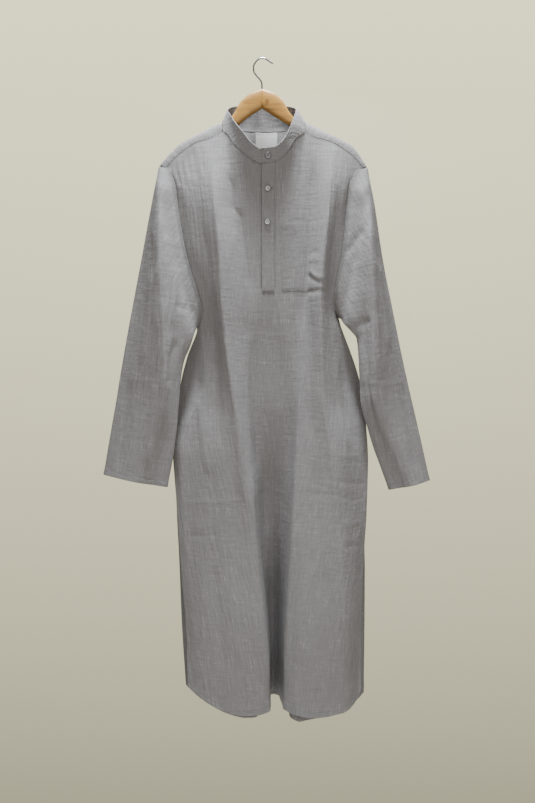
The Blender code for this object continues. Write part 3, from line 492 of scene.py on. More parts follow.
def sleeve_head(side):
    # the ring that stands just outside the armhole
    out = -1 if side == "l" else 1
    step = Vector((SLEEVE_CLEAR * out, 0, 0))
    head = over_the_shoulder("edge_" + side)
    fore = [head[2] + Vector((1.2 * out, 0, 0.4)), head[1] + Vector((1.5 * out, -0.6, -0.2))]
    for row in ARMHOLE_FRONT[side]:
        spare = 1.0 if row[0] < UNDERARM_FRONT else 0.0
        if row[0] > SHOULDER_ZONE:
            spare = 0.8
        fore.append(on_edge(ARMHOLE_FRONT[side], row[0]) + step * (1 + spare))
    fore[-1] = Vector((fore[-1].x + out, 3, SIDE_SEAM[side][0][0] - 0.5))
    rear = [fore[-1]]
    for row in reversed(ARMHOLE_BACK[side][:-1]):
        spare = 0.6 if row[0] < UNDERARM_BACK else 0.0
        rear.append(on_edge(ARMHOLE_BACK[side], row[0]) + step * (1 + spare))
    rear += [head[3] + step, fore[0]]
    return ring_of(fore, rear)


def sleeve_ring(station, tuck):
    ox, oz, ix, iz, crest_at, crest_y, back_y, bow = station
    outer = Vector((ox, SLEEVE_OUTER_Y, oz))
    inner = Vector((ix, tuck, iz))

    def across(f, y, sideways=0.0):
        point = outer.lerp(inner, f)
        point.y = y
        point.x += sideways
        return point

    rise = crest_y - SLEEVE_OUTER_Y
    fall = crest_y - tuck
    rest = 1 - crest_at
    fore = [outer, across(crest_at * 0.45, SLEEVE_OUTER_Y + rise * 0.6),
            across(crest_at, crest_y), across(crest_at + rest * 0.55, tuck + fall * 0.42),
            across(crest_at + rest * 0.88, tuck + fall * 0.12 - 2.5), inner]
    rear = [inner, across(0.95, tuck + 7, bow * 0.3),
            across(0.75, (back_y + tuck) / 2 + 7, bow),
            across(0.45, back_y, bow), across(0.12, back_y - 6, bow * 0.2), outer]
    return ring_of(fore, rear)


def sleeve_rings(side):
    rings = [sleeve_head(side)]
    for n, station in enumerate(SLEEVE[side]):
        rings.append(sleeve_ring(station, SLEEVE_INNER_Y + max(0.0, 10.0 - 5.0 * n)))
    lines = [evenly([ring[n] for ring in rings], CUFF_STEPS) for n in range(SLEEVE_ROUND)]
    return [[line[r] for line in lines] for r in range(CUFF_STEPS + 1)]


def neckline(front, back):
    # round the neck from the under end, by the back, to the over end
    fold = {name: 2 * k for k, name in enumerate(FRONT_FOLDS)}
    left = front[fold["neck_l"]:fold["placket_r"] + 1]
    right = front[fold["placket_l"]:fold["neck_r"] + 1]
    first = 2 * BACK_FOLDS.index("neck_a_l") + 1
    final = 2 * BACK_FOLDS.index("neck_a_r") - 1
    return left[::-1] + back[first:final + 1] + right[::-1]


def collar_seat(front, front_n, back, back_n):
    # the band's lower edge: just off the panels' cut edge, in their surface
    points = neckline(front[0], back[0])
    outs = neckline(front_n[0], back_n[0])
    seat = []
    for k, p in enumerate(points):
        run = points[min(k + 1, len(points) - 1)] - points[max(k - 1, 0)]
        off = run.cross(outs[k]).normalized()
        if off.dot(Vector((4, 0, p.z + 60)) - p) < 0:
            off.negate()
        seat.append(p + off * (CLOTH / 2 + GAP) + Vector((0, 0, COLLAR_LIFT)))
    return seat


def collar_grid(low):
    high = spread([Vector(r[1:4]) for r in COLLAR], [r[4] for r in COLLAR[:-1]])
    shift = [0.0] * len(low)
    shift[0:4] = [COLLAR_UNDER, COLLAR_UNDER, COLLAR_UNDER, COLLAR_UNDER / 2]
    shift[-4:] = [COLLAR_OVER / 2, COLLAR_OVER, COLLAR_OVER, COLLAR_OVER]
    grid = []
    for t in (0.0, 0.34, 0.68, 1.0):
        line = []
        for a, b, s in zip(low, high, shift):
            line.append(a.lerp(b, t) + Vector((0, s, 0)))
        grid.append(line)
    return grid


SHEET_THICK = 0.8          # the panels' and sleeves' cloth with its fuzz
BAND_THICK = 1.6           # interfaced double cloth of placket and pocket
COLLAR_THICK = 1.5
LABEL_THICK = 0.5
HEM_DEPTH = 9.0            # turned hem at the bottom of both panels
SLIT_DEPTH = 7.0           # turned edge up both sides of the slits
CUFF_DEPTH = 10.0
HEM_ZONE = -1100           # the bottom hem lies below this height
SLIT_ZONE = -900           # and the slits' turned edges below this one
ARMHOLE_ZONE = -535        # the armholes' seams lie above this one
FRONT_HOLD = 25.0          # creases grow to full height this far below the seams
BACK_HOLD = 60.0           # behind, they start this far down and grow as long again
HEAD_HOLD = 16.0
HEAD_DRAWN = 9.0           # this much of a sleeve's head runs in under the armhole,
HEAD_IN = 3.6              # so far inwards,
HEAD_IN_TOP = 3.4          # more over the shoulder,
HEAD_LIFT = 4.5            # where it is lifted as well
HEAD_TOP = -262            # from this height, over
HEAD_TOP_SPAN = 34.0       # so much, the change is gradual
COLLAR_DOWN = 1.3          # how far the band's lower edge runs on downwards,
COLLAR_DOWN_BEHIND = 3.4   # and more behind the neck
COLLAR_IN = 0.9            # how far it goes in under the panels,
COLLAR_IN_BEHIND = -0.2    # and less behind the neck
LABEL_OFF = 1.9            # label's middle off the back panel's
STITCH_LENGTH = 2.3
STITCH_GAP = 0.9
STITCH_WIDTH = 0.45

# Rows and columns that the finer meshes have, about
FRONT_MESH = (288, 146)
BACK_MESH = (280, 134)
SLEEVE_MESH = (210, 112)
COLLAR_MESH = (22, 250)

# A stitch's stations: place along it, height and half width
STITCH_FORM = ((-0.5, -0.1, 0.25), (-0.3, 0.16, 0.5), (0.3, 0.16, 0.5), (0.5, -0.1, 0.25))

Made = namedtuple("Made", "piece points normals rows cols grid", defaults=(None, None, None))

# Creases: how far they stand out, their half width, "sharp", "soft" or "long"
# (soft, and fading down most of its length), and their line of x, z points
FRONT_CREASES = (
    (4.4, 10, "sharp", ((-107, -173), (-92, -295), (-81, -412), (-77, -488), (-70, -567),
                       (-61, -649), (-47, -725), (-39, -832), (-31, -880), (-30, -960))),
    (-3.0, 8, "sharp", ((-75, -227), (-57, -262), (-55, -304), (-41, -322), (-34, -373),
                       (-25, -436), (-23, -485))),
    (4.2, 10, "sharp", ((136, -254), (129, -322), (118, -412), (114, -488), (116, -567),
                       (119, -686), (128, -750), (136, -799), (142, -863), (150, -963),
                       (153, -1041), (159, -1106), (169, -1185), (172, -1250))),
    (4.2, 9, "sharp", ((-23, -780), (-19, -879), (-10, -997), (5, -1135), (16, -1276))),
    (-3.8, 12, "sharp", ((102, -200), (92, -386), (84, -485), (81, -560))),
    (3.4, 9, "sharp", ((80, -560), (78, -613), (75, -682), (70, -781), (65, -879), (58, -997),
                       (49, -1135), (42, -1276))),
    (-7.0, 26, "long", ((-116, -560), (-130, -670), (-142, -740), (-140, -860), (-130, -1160))),
    (-5.0, 20, "long", ((158, -560), (170, -680), (186, -760), (184, -860), (176, -1160))),
    (0.55, 3, "sharp", ((-166, -882), (-121, -883), (-70, -880), (-23, -874))),
    (-0.8, 3, "sharp", ((-148, -949), (-111, -947), (-80, -943))),
    (-0.55, 3, "sharp", ((66, -863), (113, -865), (144, -865), (171, -876), (206, -876))),
    (0.6, 3, "sharp", ((145, -792), (172, -792), (202, -794))),
    (-0.65, 3, "sharp", ((143, -839), (172, -844), (206, -848))),
    (0.8, 3, "sharp", ((152, -920), (176, -924), (201, -920))),
    (-0.9, 3, "sharp", ((154, -967), (178, -963), (197, -968))),
    (1.8, 9, "soft", ((-126, -678), (-112, -767), (-107, -834))),
    (-1.1, 3.6, "soft", ((-172, -206), (-168, -232), (-160, -262))),
    (-1.2, 3.6, "soft", ((-161, -196), (-157, -225), (-150, -270))),
    (-1.0, 3.6, "soft", ((-149, -186), (-146, -214), (-140, -244))),
    (-0.9, 3.6, "soft", ((-138, -179), (-134, -206), (-129, -250))),
    (-0.8, 4.0, "soft", ((-122, -172), (-119, -198), (-114, -238))),
    (-0.8, 4.0, "soft", ((152, -186), (150, -214), (147, -262))),
    (-0.8, 4.0, "soft", ((168, -196), (165, -226), (160, -268))),
    (-1.7, 3.0, "sharp", ((86, -431), (100, -446), (118, -457))),
    (1.7, 3.5, "sharp", ((91, -424), (104, -438), (120, -449))),
    (0.9, 3.5, "sharp", ((92, -408), (102, -404), (113, -412))),
    (-0.8, 3.0, "sharp", ((90, -396), (103, -391), (114, -397))),
    (-0.9, 3.0, "sharp", ((88, -466), (100, -470), (114, -466))),
    (0.8, 3.0, "sharp", ((90, -478), (103, -481), (114, -477))),
    (1.6, 7, "soft", ((-134, -500), (-122, -548), (-116, -610), (-118, -664))),
    (-1.6, 8, "soft", ((-96, -520), (-92, -600), (-84, -690), (-88, -770))),
    (1.5, 7, "soft", ((152, -560), (150, -640), (158, -720), (172, -790))),
    (-1.4, 8, "soft", ((94, -500), (96, -590), (94, -690), (100, -780))),
    (1.2, 9, "soft", ((70, -900), (76, -1000), (74, -1110), (80, -1210))),
    (-1.2, 9, "soft", ((120, -1000), (126, -1090), (128, -1200))),
    (-1.3, 9, "soft", ((-90, -1000), (-84, -1100), (-70, -1210))),
    (1.1, 8, "soft", ((-60, -990), (-54, -1090), (-46, -1190))),
)
BACK_CREASES = (
    (2.4, 9, "soft", ((-70, -215), (-72, -360), (-66, -520), (-60, -700))),
    (-2.0, 9, "soft", ((-40, -260), (-42, -420), (-36, -640))),
    (2.2, 9, "soft", ((92, -210), (88, -380), (90, -560), (96, -720))),
    (-2.0, 10, "soft", ((60, -250), (58, -430), (62, -660))),
    (1.4, 4, "sharp", ((-150, -876), (-90, -880), (-20, -874))),
    (-1.3, 4, "sharp", ((20, -878), (100, -882), (190, -876))),
    (1.2, 4, "sharp", ((-130, -545), (-60, -548), (10, -544))),
    (-1.2, 4, "sharp", ((30, -548), (90, -546), (140, -552))),
    (1.6, 9, "soft", ((-120, -560), (-128, -680), (-120, -800))),
    (1.6, 9, "soft", ((140, -560), (146, -680), (140, -800))),
    (-1.4, 9, "soft", ((-60, -920), (-50, -1050), (-40, -1200))),
    (1.4, 9, "soft", ((110, -920), (114, -1060), (112, -1200))),
)
SLEEVE_CREASES = {
    "l": ((2.0, 8, "sharp", ((-200, -285), (-198, -437), (-194, -515), (-190, -578),
                             (-190, -640), (-196, -705), (-214, -780))),
          (2.0, 6, "sharp", ((-163, -414), (-170, -457), (-174, -546))),
          (-1.5, 6, "soft", ((-172, -498), (-141, -504), (-118, -514))),
          (-2.0, 6, "soft", ((-190, -262), (-192, -320), (-188, -372))),
          (1.8, 7, "soft", ((-214, -420), (-222, -520), (-236, -620))),
          (0.45, 3.5, "sharp", ((-268, -640), (-222, -646), (-172, -640))),
          (-1.5, 8, "soft", ((-260, -640), (-272, -740), (-284, -830))),
          (1.5, 7, "soft", ((-206, -640), (-216, -730), (-226, -820))),
          (-1.8, 6, "soft", ((-166, -560), (-178, -600), (-182, -660)))),
    "r": ((2.0, 8, "sharp", ((209, -290), (212, -400), (216, -480), (218, -540), (219, -610),
                             (223, -680), (238, -750))),
          (-1.7, 7, "soft", ((202, -346), (181, -372), (160, -399))),
          (-1.5, 6, "soft", ((178, -540), (196, -533), (214, -529))),
          (-2.0, 6, "soft", ((206, -268), (208, -320), (204, -356))),
          (1.8, 7, "soft", ((226, -400), (238, -500), (250, -600))),
          (0.45, 3.5, "sharp", ((200, -648), (246, -652), (290, -646))),
          (-1.5, 8, "soft", ((276, -640), (290, -740), (306, -830))),
          (1.5, 7, "soft", ((226, -640), (242, -730), (258, -820))),
          (1.3, 7, "soft", ((184, -560), (196, -600), (202, -660)))),
}

# Fine crinkles: height, wavelength across, wander down the cloth, and phase
RIPPLES = ((0.16, 11.0, 260.0, 0.0), (0.13, 17.0, 390.0, 1.7), (0.10, 7.3, 180.0, 3.1),
           (0.35, 47.0, 520.0, 0.6), (0.30, 71.0, 640.0, 2.2))

# Narrow lines of painted shade on the front, beside the placket's and pocket's edges: how dark,
# half width, and x, z points
FRONT_SHADES = (
    (0.55, 1.5, ((-0.8, -222), (-0.8, -468))),
    (0.20, 1.5, ((25.0, -222), (25.0, -468))),
    (0.40, 1.8, ((-1, -469), (25, -469))),
    (0.08, 1.6, ((38, -340), (38, -462))),
    (0.14, 1.5, ((52, -329), (74, -322), (98, -318), (126, -346))),
    (0.22, 6.0, ((40, -464), (66, -470), (94, -466))),
    (0.08, 2.0, ((96, -470), (128, -470))),
)

# Painted shade along seams, free edges and rows of stitches: how dark, and half width
SEAM_SHADE = (0.34, 3.0)
NECK_SHADE = (0.30, 2.6)
STITCH_SHADE = (0.16, 1.6)
BACK_NECK_SHADE = (0.22, 2.6)
BACK_RIM_SHADE = (0.30, 7.0)
HEAD_SHADE = (0.32, 3.2)

# Colours, as linear light; resin has a darker and a paler one
YARN_DARK = (0.150, 0.145, 0.150)
YARN_MID = (0.192, 0.187, 0.191)
YARN_PALE = (0.31, 0.308, 0.305)
SEWING_THREAD = (0.24, 0.237, 0.238)
DARK_THREAD = (0.085, 0.082, 0.09)
LABEL_THREAD = (0.6, 0.6, 0.6)
LABEL_TONES = ((0.35, (0.36, 0.37, 0.37)), (0.75, (0.52, 0.53, 0.52)))
WOOD_TONES = ((0.34, (0.17, 0.075, 0.012)), (0.47, (0.28, 0.140, 0.026)),
              (0.56, (0.33, 0.172, 0.034)), (0.70, (0.40, 0.225, 0.052)))
STEEL_TONES = ((0.35, (0.22, 0.22, 0.225)), (0.65, (0.34, 0.34, 0.345)))
RESIN = ((0.34, 0.34, 0.34), (0.44, 0.44, 0.435))
# painted shade: the buttons' dark rim and near-black holes stand in for the shade round their
# edges and inside their holes
RESIN_RIM_SHADE = ((0.06, 0.06, 0.062), (0.10, 0.10, 0.10))
RESIN_GREY = ((0.16, 0.157, 0.16), (0.22, 0.216, 0.22))
RESIN_HOLE_SHADOW = ((0.03, 0.03, 0.03), (0.05, 0.05, 0.05))

# Threads in the weave: how many features per metre across and down the cloth,
# the detail in them, where their pattern starts, and their share of the whole
WEAVE = (
    ((620, 24, 1), 2.0, 0, 0.36),
    ((26, 640, 1), 2.0, 7, 0.22),
    ((1500, 90, 1), 1.0, 3, 0.20),
    ((70, 1300, 1), 1.0, 13, 0.14),
    ((16, 9, 1), 2.0, 11, 0.08),
)
LEVEL_CRINKLE = (34, 120, 1)
UPRIGHT_CRINKLE = (150, 18, 1)

# The knot in the right arm: x and z of its middle in mm, its core and its
# outer radius in metres, how dark it is, and how far it is flattened
KNOT = (10.0, -88.0)
KNOT_CORE = 0.0012
KNOT_RIM = 0.0062
KNOT_DARK = -0.22
KNOT_FLAT = 0.8


def as_array(grid):
    return np.array([[tuple(p) for p in line] for line in grid], float)


def mean_run(points):
    # how far along the rows lie, on average
    steps = np.linalg.norm(np.diff(points, axis=0), axis=2).mean(axis=1)
    return np.concatenate([[0.0], np.cumsum(np.maximum(steps, 0.01))])


def finer(at, total):
    # places between the given ones, in proportion, keeping every given one
    out = []
    marks = [0]
    for k in range(len(at) - 1):
        count = max(1, round(total * (at[k + 1] - at[k]) / at[-1]))
        out.extend(at[k] + (at[k + 1] - at[k]) * n / count for n in range(count))
        marks.append(len(out))
    out.append(at[-1])
    return np.array(out), marks


def smooth_rows(points, total, crisp=0.0):
    # more rows, on smooth curves through the given rows; crisp folds keep part
    # of the straight run between two rows
    at = mean_run(points)
    wanted, marks = finer(at, total)
    h = np.diff(at)[:, None, None]
    d = np.diff(points, axis=0) / h
    slope = np.empty_like(points)
    slope[0] = d[0]
    slope[-1] = d[-1]
    near = 2 * h[1:] + h[:-1]
    far = h[1:] + 2 * h[:-1]
    same = d[:-1] * d[1:] > 0
    safe_a = np.where(same, d[:-1], 1.0)
    safe_b = np.where(same, d[1:], 1.0)
    slope[1:-1] = np.where(same, (near + far) / (near / safe_a + far / safe_b), 0.0)
    k = np.clip(np.searchsorted(at, wanted, side="right") - 1, 0, len(at) - 2)
    t = ((wanted - at[k]) / np.diff(at)[k])[:, None, None]
    h = h[k]
    fine = (points[k] * (1 + 2 * t) * (1 - t) ** 2 + h * slope[k] * t * (1 - t) ** 2
            + points[k + 1] * t * t * (3 - 2 * t) + h * slope[k + 1] * t * t * (t - 1))
    straight = points[k] * (1 - t) + points[k + 1] * t
    return fine * (1 - crisp) + straight * crisp, marks


def refine(grid, rows, cols, closed=False, crisp=0.0):
    points = as_array(grid)
    if closed:
        points = np.concatenate([points[:, -2:], points, points[:, :3]], axis=1)
    points, row_marks = smooth_rows(points, rows)
    turned, col_marks = smooth_rows(points.transpose(1, 0, 2), cols, crisp)
    points = turned.transpose(1, 0, 2)
    if closed:
        first = col_marks[2]
        last = col_marks[-3]
        points = points[:, first:last]
    return points, row_marks, col_marks


def normals_of(points, closed=False, outward=None):
    if closed:
        across = np.roll(points, -1, axis=1) - np.roll(points, 1, axis=1)
    else:
        across = np.gradient(points, axis=1)
    down = np.gradient(points, axis=0)
    n = np.cross(across, down)
    n /= np.maximum(np.linalg.norm(n, axis=2, keepdims=True), 1e-9)
    if outward is None:
        return n if n[..., 1].sum() < 0 else -n
    away = points - outward(points)
    return n if (n * away).sum() > 0 else -n


def near_line(x, z, line):
    # distance from each point to a line of x, z points, and how far along it
    best = np.full(x.shape, 1e9)
    where = np.zeros(x.shape)
    lengths = [math.dist(a, b) for a, b in zip(line, line[1:])]
    run = 0.0
    for (ax, az), (bx, bz), length in zip(line, line[1:], lengths):
        t = ((x - ax) * (bx - ax) + (z - az) * (bz - az)) / length ** 2
        t = np.clip(t, 0, 1)
        d = np.hypot(x - ax - t * (bx - ax), z - az - t * (bz - az))
        closer = d < best
        best = np.where(closer, d, best)
        where = np.where(closer, (run + t * length) / sum(lengths), where)
        run += length
    return best, where


def ease(t):
    t = np.clip(t, 0, 1)
    return t * t * (3 - 2 * t)


def creases(points, table):
    x = points[..., 0]
    z = points[..., 2]
    total = np.zeros(x.shape)
    for height, width, kind, line in table:
        d, t = near_line(x, z, line)
        form = np.exp(-d / width) if kind == "sharp" else np.exp(-(d / width) ** 2)
        fade = 0.75 if kind == "long" else 0.18
        total += height * form * ease(t / 0.18) * ease((1 - t) / fade)
    return total


def shade_of(points, lines, edges=()):
    # painted shade: the cloth's colour is darkened in the narrow gap beside a seam or a free
    # edge, where shade falls
    tone = np.ones(points.shape[:2])
    for amount, width, line in lines:
        d, t = near_line(points[..., 0], points[..., 2], line)
        tone *= 1 - amount * np.exp(-(d / width) ** 2) * ease(t / 0.03) * ease((1 - t) / 0.03)
    for (amount, width), distance in edges:
        tone *= 1 - amount * np.exp(-(distance / width) ** 2)
    return tone


def ripples(points, seed, closed=False):
    # shallow crinkles that run down the cloth
    flat = cloth_uv(points, closed)[:, :points.shape[1]] / MM
    u = flat[..., 0]
    v = flat[..., 1]
    total = np.zeros(u.shape)
    for k, (height, wave, wander, phase) in enumerate(RIPPLES):
        drift = 0.9 * np.sin(2 * math.pi * v / wander + seed + phase)
        swell = 0.55 + 0.45 * np.sin(2 * math.pi * (v / (wander * 0.7) + u / 190) + 2 * seed + k)
        total += height * swell * np.sin(2 * math.pi * u / wave + drift * 2 + seed * (k + 1))
    return total


def from_edge(points, last=True):
    # distance up the cloth from its bottom row, or down from its first
    steps = np.linalg.norm(np.diff(points, axis=0), axis=2)
    if last:
        back = np.cumsum(steps[::-1], axis=0)[::-1]
        return np.concatenate([back, np.zeros((1, points.shape[1]))])
    return np.concatenate([np.zeros((1, points.shape[1])), np.cumsum(steps, axis=0)])


def from_side(points, last):
    turned = from_edge(points.transpose(1, 0, 2), last)
    return turned.T


def hem_relief(distance, depth=HEM_DEPTH):
    # a turned edge: thicker cloth, with a dent along its line of stitches
    fold = 0.45 * ease((depth - distance) / 1.5 + 0.5)
    dent = 0.45 * np.exp(-((distance - depth + 1.5) / 0.9) ** 2)
    return fold - dent


def cloth_uv(points, closed=False):
    # across the weft and down the warp, in metres
    if closed:
        looped = np.concatenate([points, points[:, :1]], axis=1)
    else:
        looped = points
    flat = np.linalg.norm(np.diff(looped[..., :2], axis=1), axis=2)
    u = np.concatenate([np.zeros((len(points), 1)), np.cumsum(flat, axis=1)], axis=1)
    middle = 0 if closed else points.shape[1] // 2
    u -= u[:, middle:middle + 1]
    if closed:
        down = from_edge(looped, last=False)
        v = np.broadcast_to(down.mean(axis=1, keepdims=True), u.shape)
    else:
        v = -looped[..., 2]
    return np.stack([u, v], axis=2) * MM


def wall_mesh(name, points, normals, thick, finish, closed=False, uv=None, shade=None):
    # two skins and their rims, from the middle surface
    rows, cols = points.shape[:2]
    outer = points + normals * (thick / 2)
    inner = points - normals * (thick / 2)
    verts = np.concatenate([outer.reshape(-1, 3), inner.reshape(-1, 3)]) * MM
    span = cols if closed else cols - 1
    size = rows * cols
    i, j = np.meshgrid(np.arange(rows - 1), np.arange(span), indexing="ij")
    k = (j + 1) % cols
    quad = np.stack([i * cols + j, i * cols + k, (i + 1) * cols + k, (i + 1) * cols + j], axis=2)
    quad = quad.reshape(-1, 4)
    uv = cloth_uv(points, closed) if uv is None else uv
    wide = uv.shape[1]
    mark = np.stack([i * wide + j, i * wide + j + 1, (i + 1) * wide + j + 1,
                     (i + 1) * wide + j], axis=2).reshape(-1, 4)
    faces = [quad, quad[:, ::-1] + size]
    marks = [mark, mark[:, ::-1]]
    for r in (0, rows - 1):
        a = r * cols + np.arange(span)
        b = r * cols + (np.arange(span) + 1) % cols
        m = r * wide + np.arange(span)
        faces.append(np.stack([a, b, b + size, a + size], axis=1))
        marks.append(np.stack([m, m + 1, m + 1, m], axis=1))
    if not closed:
        for c in (0, cols - 1):
            a = np.arange(rows - 1) * cols + c
            m = np.arange(rows - 1) * wide + c
            faces.append(np.stack([a, a + cols, a + cols + size, a + size], axis=1))
            marks.append(np.stack([m, m + wide, m + wide, m], axis=1))
    faces = np.concatenate(faces)
    mesh = bpy.data.meshes.new(name)
    mesh.from_pydata(verts.tolist(), [], faces.tolist())
    # the shade attribute holds painted shade, which darkens the cloth's colour
    tone = np.ones(size) if shade is None else shade.ravel()
    painted_shade_layer = mesh.attributes.new("shade", "FLOAT", "POINT")
    painted_shade_layer.data.foreach_set("value", np.concatenate([tone, tone]))
    layer = mesh.uv_layers.new(name="cloth")
    layer.uv.foreach_set("vector", uv.reshape(-1, 2)[np.concatenate(marks).ravel()].ravel())
    return place_mesh(name, mesh, [finish])


def place_mesh(name, mesh, finishes):
    for finish in finishes:
        mesh.materials.append(finish)
    mesh.update()
    mesh.shade_smooth()
    mesh.set_sharp_from_angle(angle=math.radians(55))
    made = bpy.data.objects.new(name, mesh)
    bpy.context.scene.collection.objects.link(made)
    return made


def outward_faces(obj):
    # turns a closed mesh's faces outwards
    shape = bmesh.new()
    shape.from_mesh(obj.data)
    bmesh.ops.recalc_face_normals(shape, faces=shape.faces)
    shape.to_mesh(obj.data)
    shape.free()
    return obj


def new_material(name, space="Object"):
    # a material, its nodes, its shader, and the places its patterns start from
    made = bpy.data.materials.new(name)
    made.use_nodes = True
    tree = made.node_tree
    place = tree.nodes.new("ShaderNodeTexCoord").outputs[space]
    return made, tree, tree.nodes["Principled BSDF"], place


def settle(holder, **values):
    # values for a node's own sockets, with _ for each space in a name
    for key, value in values.items():
        holder.inputs[key.replace("_", " ")].default_value = value
    return holder


def bumped(tree, height, strength, distance, under=None):
    bump = settle(tree.nodes.new("ShaderNodeBump"), Strength=strength, Distance=distance)
    tree.links.new(height, bump.inputs["Height"])
    if under is not None:
        tree.links.new(under, bump.inputs["Normal"])
    return bump.outputs["Normal"]


def threads(tree, place, scale, detail=3.0, offset=0.0):
    # noise drawn out along one direction of the weave
    mapping = settle(tree.nodes.new("ShaderNodeMapping"), Scale=scale,
                     Location=(offset, offset, 0))
    noise = settle(tree.nodes.new("ShaderNodeTexNoise"), Scale=1.0, Detail=detail, Roughness=0.6)
    tree.links.new(place, mapping.inputs["Vector"])
    tree.links.new(mapping.outputs["Vector"], noise.inputs["Vector"])
    return noise.outputs["Fac"]


def mixed(tree, kind, *parts):
    # arithmetic on numbers and other nodes' outputs
    made = tree.nodes.new("ShaderNodeMath")
    made.operation = kind
    for socket, value in zip(made.inputs, parts):
        if isinstance(value, float):
            socket.default_value = value
        else:
            tree.links.new(value, socket)
    return made.outputs[0]


def shared(tree, layers):
    # the sum of the layers, each by its share
    total = 0.0
    for layer, share in layers:
        total = mixed(tree, "MULTIPLY_ADD", layer, share, total)
    return total


def vector_step(tree, kind, source, other):
    made = tree.nodes.new("ShaderNodeVectorMath")
    made.operation = kind
    made.inputs[1].default_value = other
    tree.links.new(source, made.inputs[0])
    return made


def ramp(tree, value, stops):
    made = tree.nodes.new("ShaderNodeValToRGB")
    points = made.color_ramp.elements
    while len(points) < len(stops):
        points.new(0.5)
    for point, (at, colour) in zip(points, stops):
        point.position = at
        point.color = tuple(colour) + (1.0,)
    tree.links.new(value, made.inputs["Fac"])
    return made.outputs["Color"]


def slub_cloth(name, offset=0.0, tone=1.0):
    # plain weave of uneven yarns: pale slubs run along warp and weft
    made, tree, shader, place = new_material(name, "UV")
    weave = shared(tree, [(threads(tree, place, scale, detail, offset + start), share)
                          for scale, detail, start, share in WEAVE])
    # tone scales the yarn colours; below 1 it makes a darker copy of the linen as painted shade
    dark, middle, pale = [[c * tone for c in yarn] for yarn in (YARN_DARK, YARN_MID, YARN_PALE)]
    colour = ramp(tree, weave, ((0.38, dark), (0.47, middle), (0.53, middle), (0.64, pale)))
    # painted shade: the weave's colour is scaled by the mesh's shade attribute
    shade = tree.nodes.new("ShaderNodeAttribute")
    shade.attribute_name = "shade"
    painted_shade_colour = tree.nodes.new("ShaderNodeVectorMath")
    painted_shade_colour.operation = "SCALE"
    tree.links.new(colour, painted_shade_colour.inputs[0])
    tree.links.new(shade.outputs["Fac"], painted_shade_colour.inputs["Scale"])
    tree.links.new(painted_shade_colour.outputs["Vector"], shader.inputs["Base Color"])
    level = threads(tree, place, LEVEL_CRINKLE, 3.0, offset + 17)
    upright = threads(tree, place, UPRIGHT_CRINKLE, 3.0, offset + 19)
    crumple = mixed(tree, "MULTIPLY_ADD", level, 0.45, upright)
    creased = bumped(tree, crumple, 0.62, 0.0022)
    tree.links.new(bumped(tree, weave, 0.6, 0.0007, creased), shader.inputs["Normal"])
    settle(shader, Roughness=0.86, Specular_IOR_Level=0.15, Sheen_Weight=0.04,
           Sheen_Roughness=0.45)
    return made


def thread_finish(name, colour):
    made, tree, shader, place = new_material(name)
    twist = threads(tree, place, (900, 900, 900), 1.0)
    tree.links.new(ramp(tree, twist, ((0.35, [c * 0.75 for c in colour]), (0.65, colour))),
                   shader.inputs["Base Color"])
    settle(shader, Roughness=0.6)
    return made


def knot_shadow(tree, place, knot):
    # darker round one place on the arm's face
    flat = vector_step(tree, "MULTIPLY", place, (1, 0, KNOT_FLAT))
    far = vector_step(tree, "DISTANCE", flat.outputs["Vector"],
                      (knot[0] * MM, 0, knot[1] * KNOT_FLAT * MM))
    dark = settle(tree.nodes.new("ShaderNodeMapRange"), From_Min=KNOT_CORE, From_Max=KNOT_RIM,
                  To_Min=KNOT_DARK, To_Max=0.0)
    dark.interpolation_type = "SMOOTHSTEP"
    tree.links.new(far.outputs["Value"], dark.inputs["Value"])
    return dark.outputs["Result"]


def wood_finish(name, offset, knot=None):
    made, tree, shader, place = new_material(name)
    grain = threads(tree, place, (9, 260, 210), 4.0, offset)
    pores = threads(tree, place, (40, 900, 900), 2.0, offset + 5)
    cloud = threads(tree, place, (14, 30, 30), 2.0, offset + 9)
    rough = shared(tree, ((grain, 0.55), (pores, 0.15)))
    tone = mixed(tree, "MULTIPLY_ADD", cloud, 0.30, rough)
    if knot is not None:
        tone = mixed(tree, "ADD", tone, knot_shadow(tree, place, knot))
    tree.links.new(ramp(tree, tone, WOOD_TONES), shader.inputs["Base Color"])
    tree.links.new(bumped(tree, rough, 0.25, 0.0004), shader.inputs["Normal"])
    settle(shader, Roughness=0.36, Coat_Weight=0.08, Coat_Roughness=0.3, Specular_IOR_Level=0.3)
    return made


def steel_finish(name):
    made, tree, shader, place = new_material(name)
    wear = threads(tree, place, (420, 420, 420), 3.0)
    tree.links.new(ramp(tree, wear, STEEL_TONES), shader.inputs["Base Color"])
    rough = settle(tree.nodes.new("ShaderNodeMapRange"), To_Min=0.18, To_Max=0.34)
    tree.links.new(wear, rough.inputs["Value"])
    tree.links.new(rough.outputs["Result"], shader.inputs["Roughness"])
    settle(shader, Metallic=1.0)
    return made


def button_finish(name, tones):
    # resin with a faint cloud
    low, high = tones
    made, tree, shader, place = new_material(name)
    cloud = threads(tree, place, (260, 520, 260), 3.0)
    tree.links.new(ramp(tree, cloud, ((0.38, low), (0.62, high))), shader.inputs["Base Color"])
    settle(shader, Roughness=0.32, Coat_Weight=0.2)
    return made


def label_finish(name):
    made, tree, shader, place = new_material(name, "UV")
    warp = threads(tree, place, (2600, 300, 1), 1.0)
    weft = threads(tree, place, (300, 2600, 1), 1.0, 4.0)
    both = mixed(tree, "ADD", warp, weft)
    tree.links.new(ramp(tree, both, LABEL_TONES), shader.inputs["Base Color"])
    tree.links.new(bumped(tree, both, 0.3, 0.0002), shader.inputs["Normal"])
    settle(shader, Roughness=0.55, Sheen_Weight=0.2)
    return made


def run_along(line):
    # the distance of each point of a line from its start
    return np.concatenate([[0.0], np.cumsum(np.linalg.norm(np.diff(line, axis=0), axis=1))])


def at_run(run, line, at):
    return np.array([np.interp(at, run, line[:, c]) for c in range(line.shape[1])])


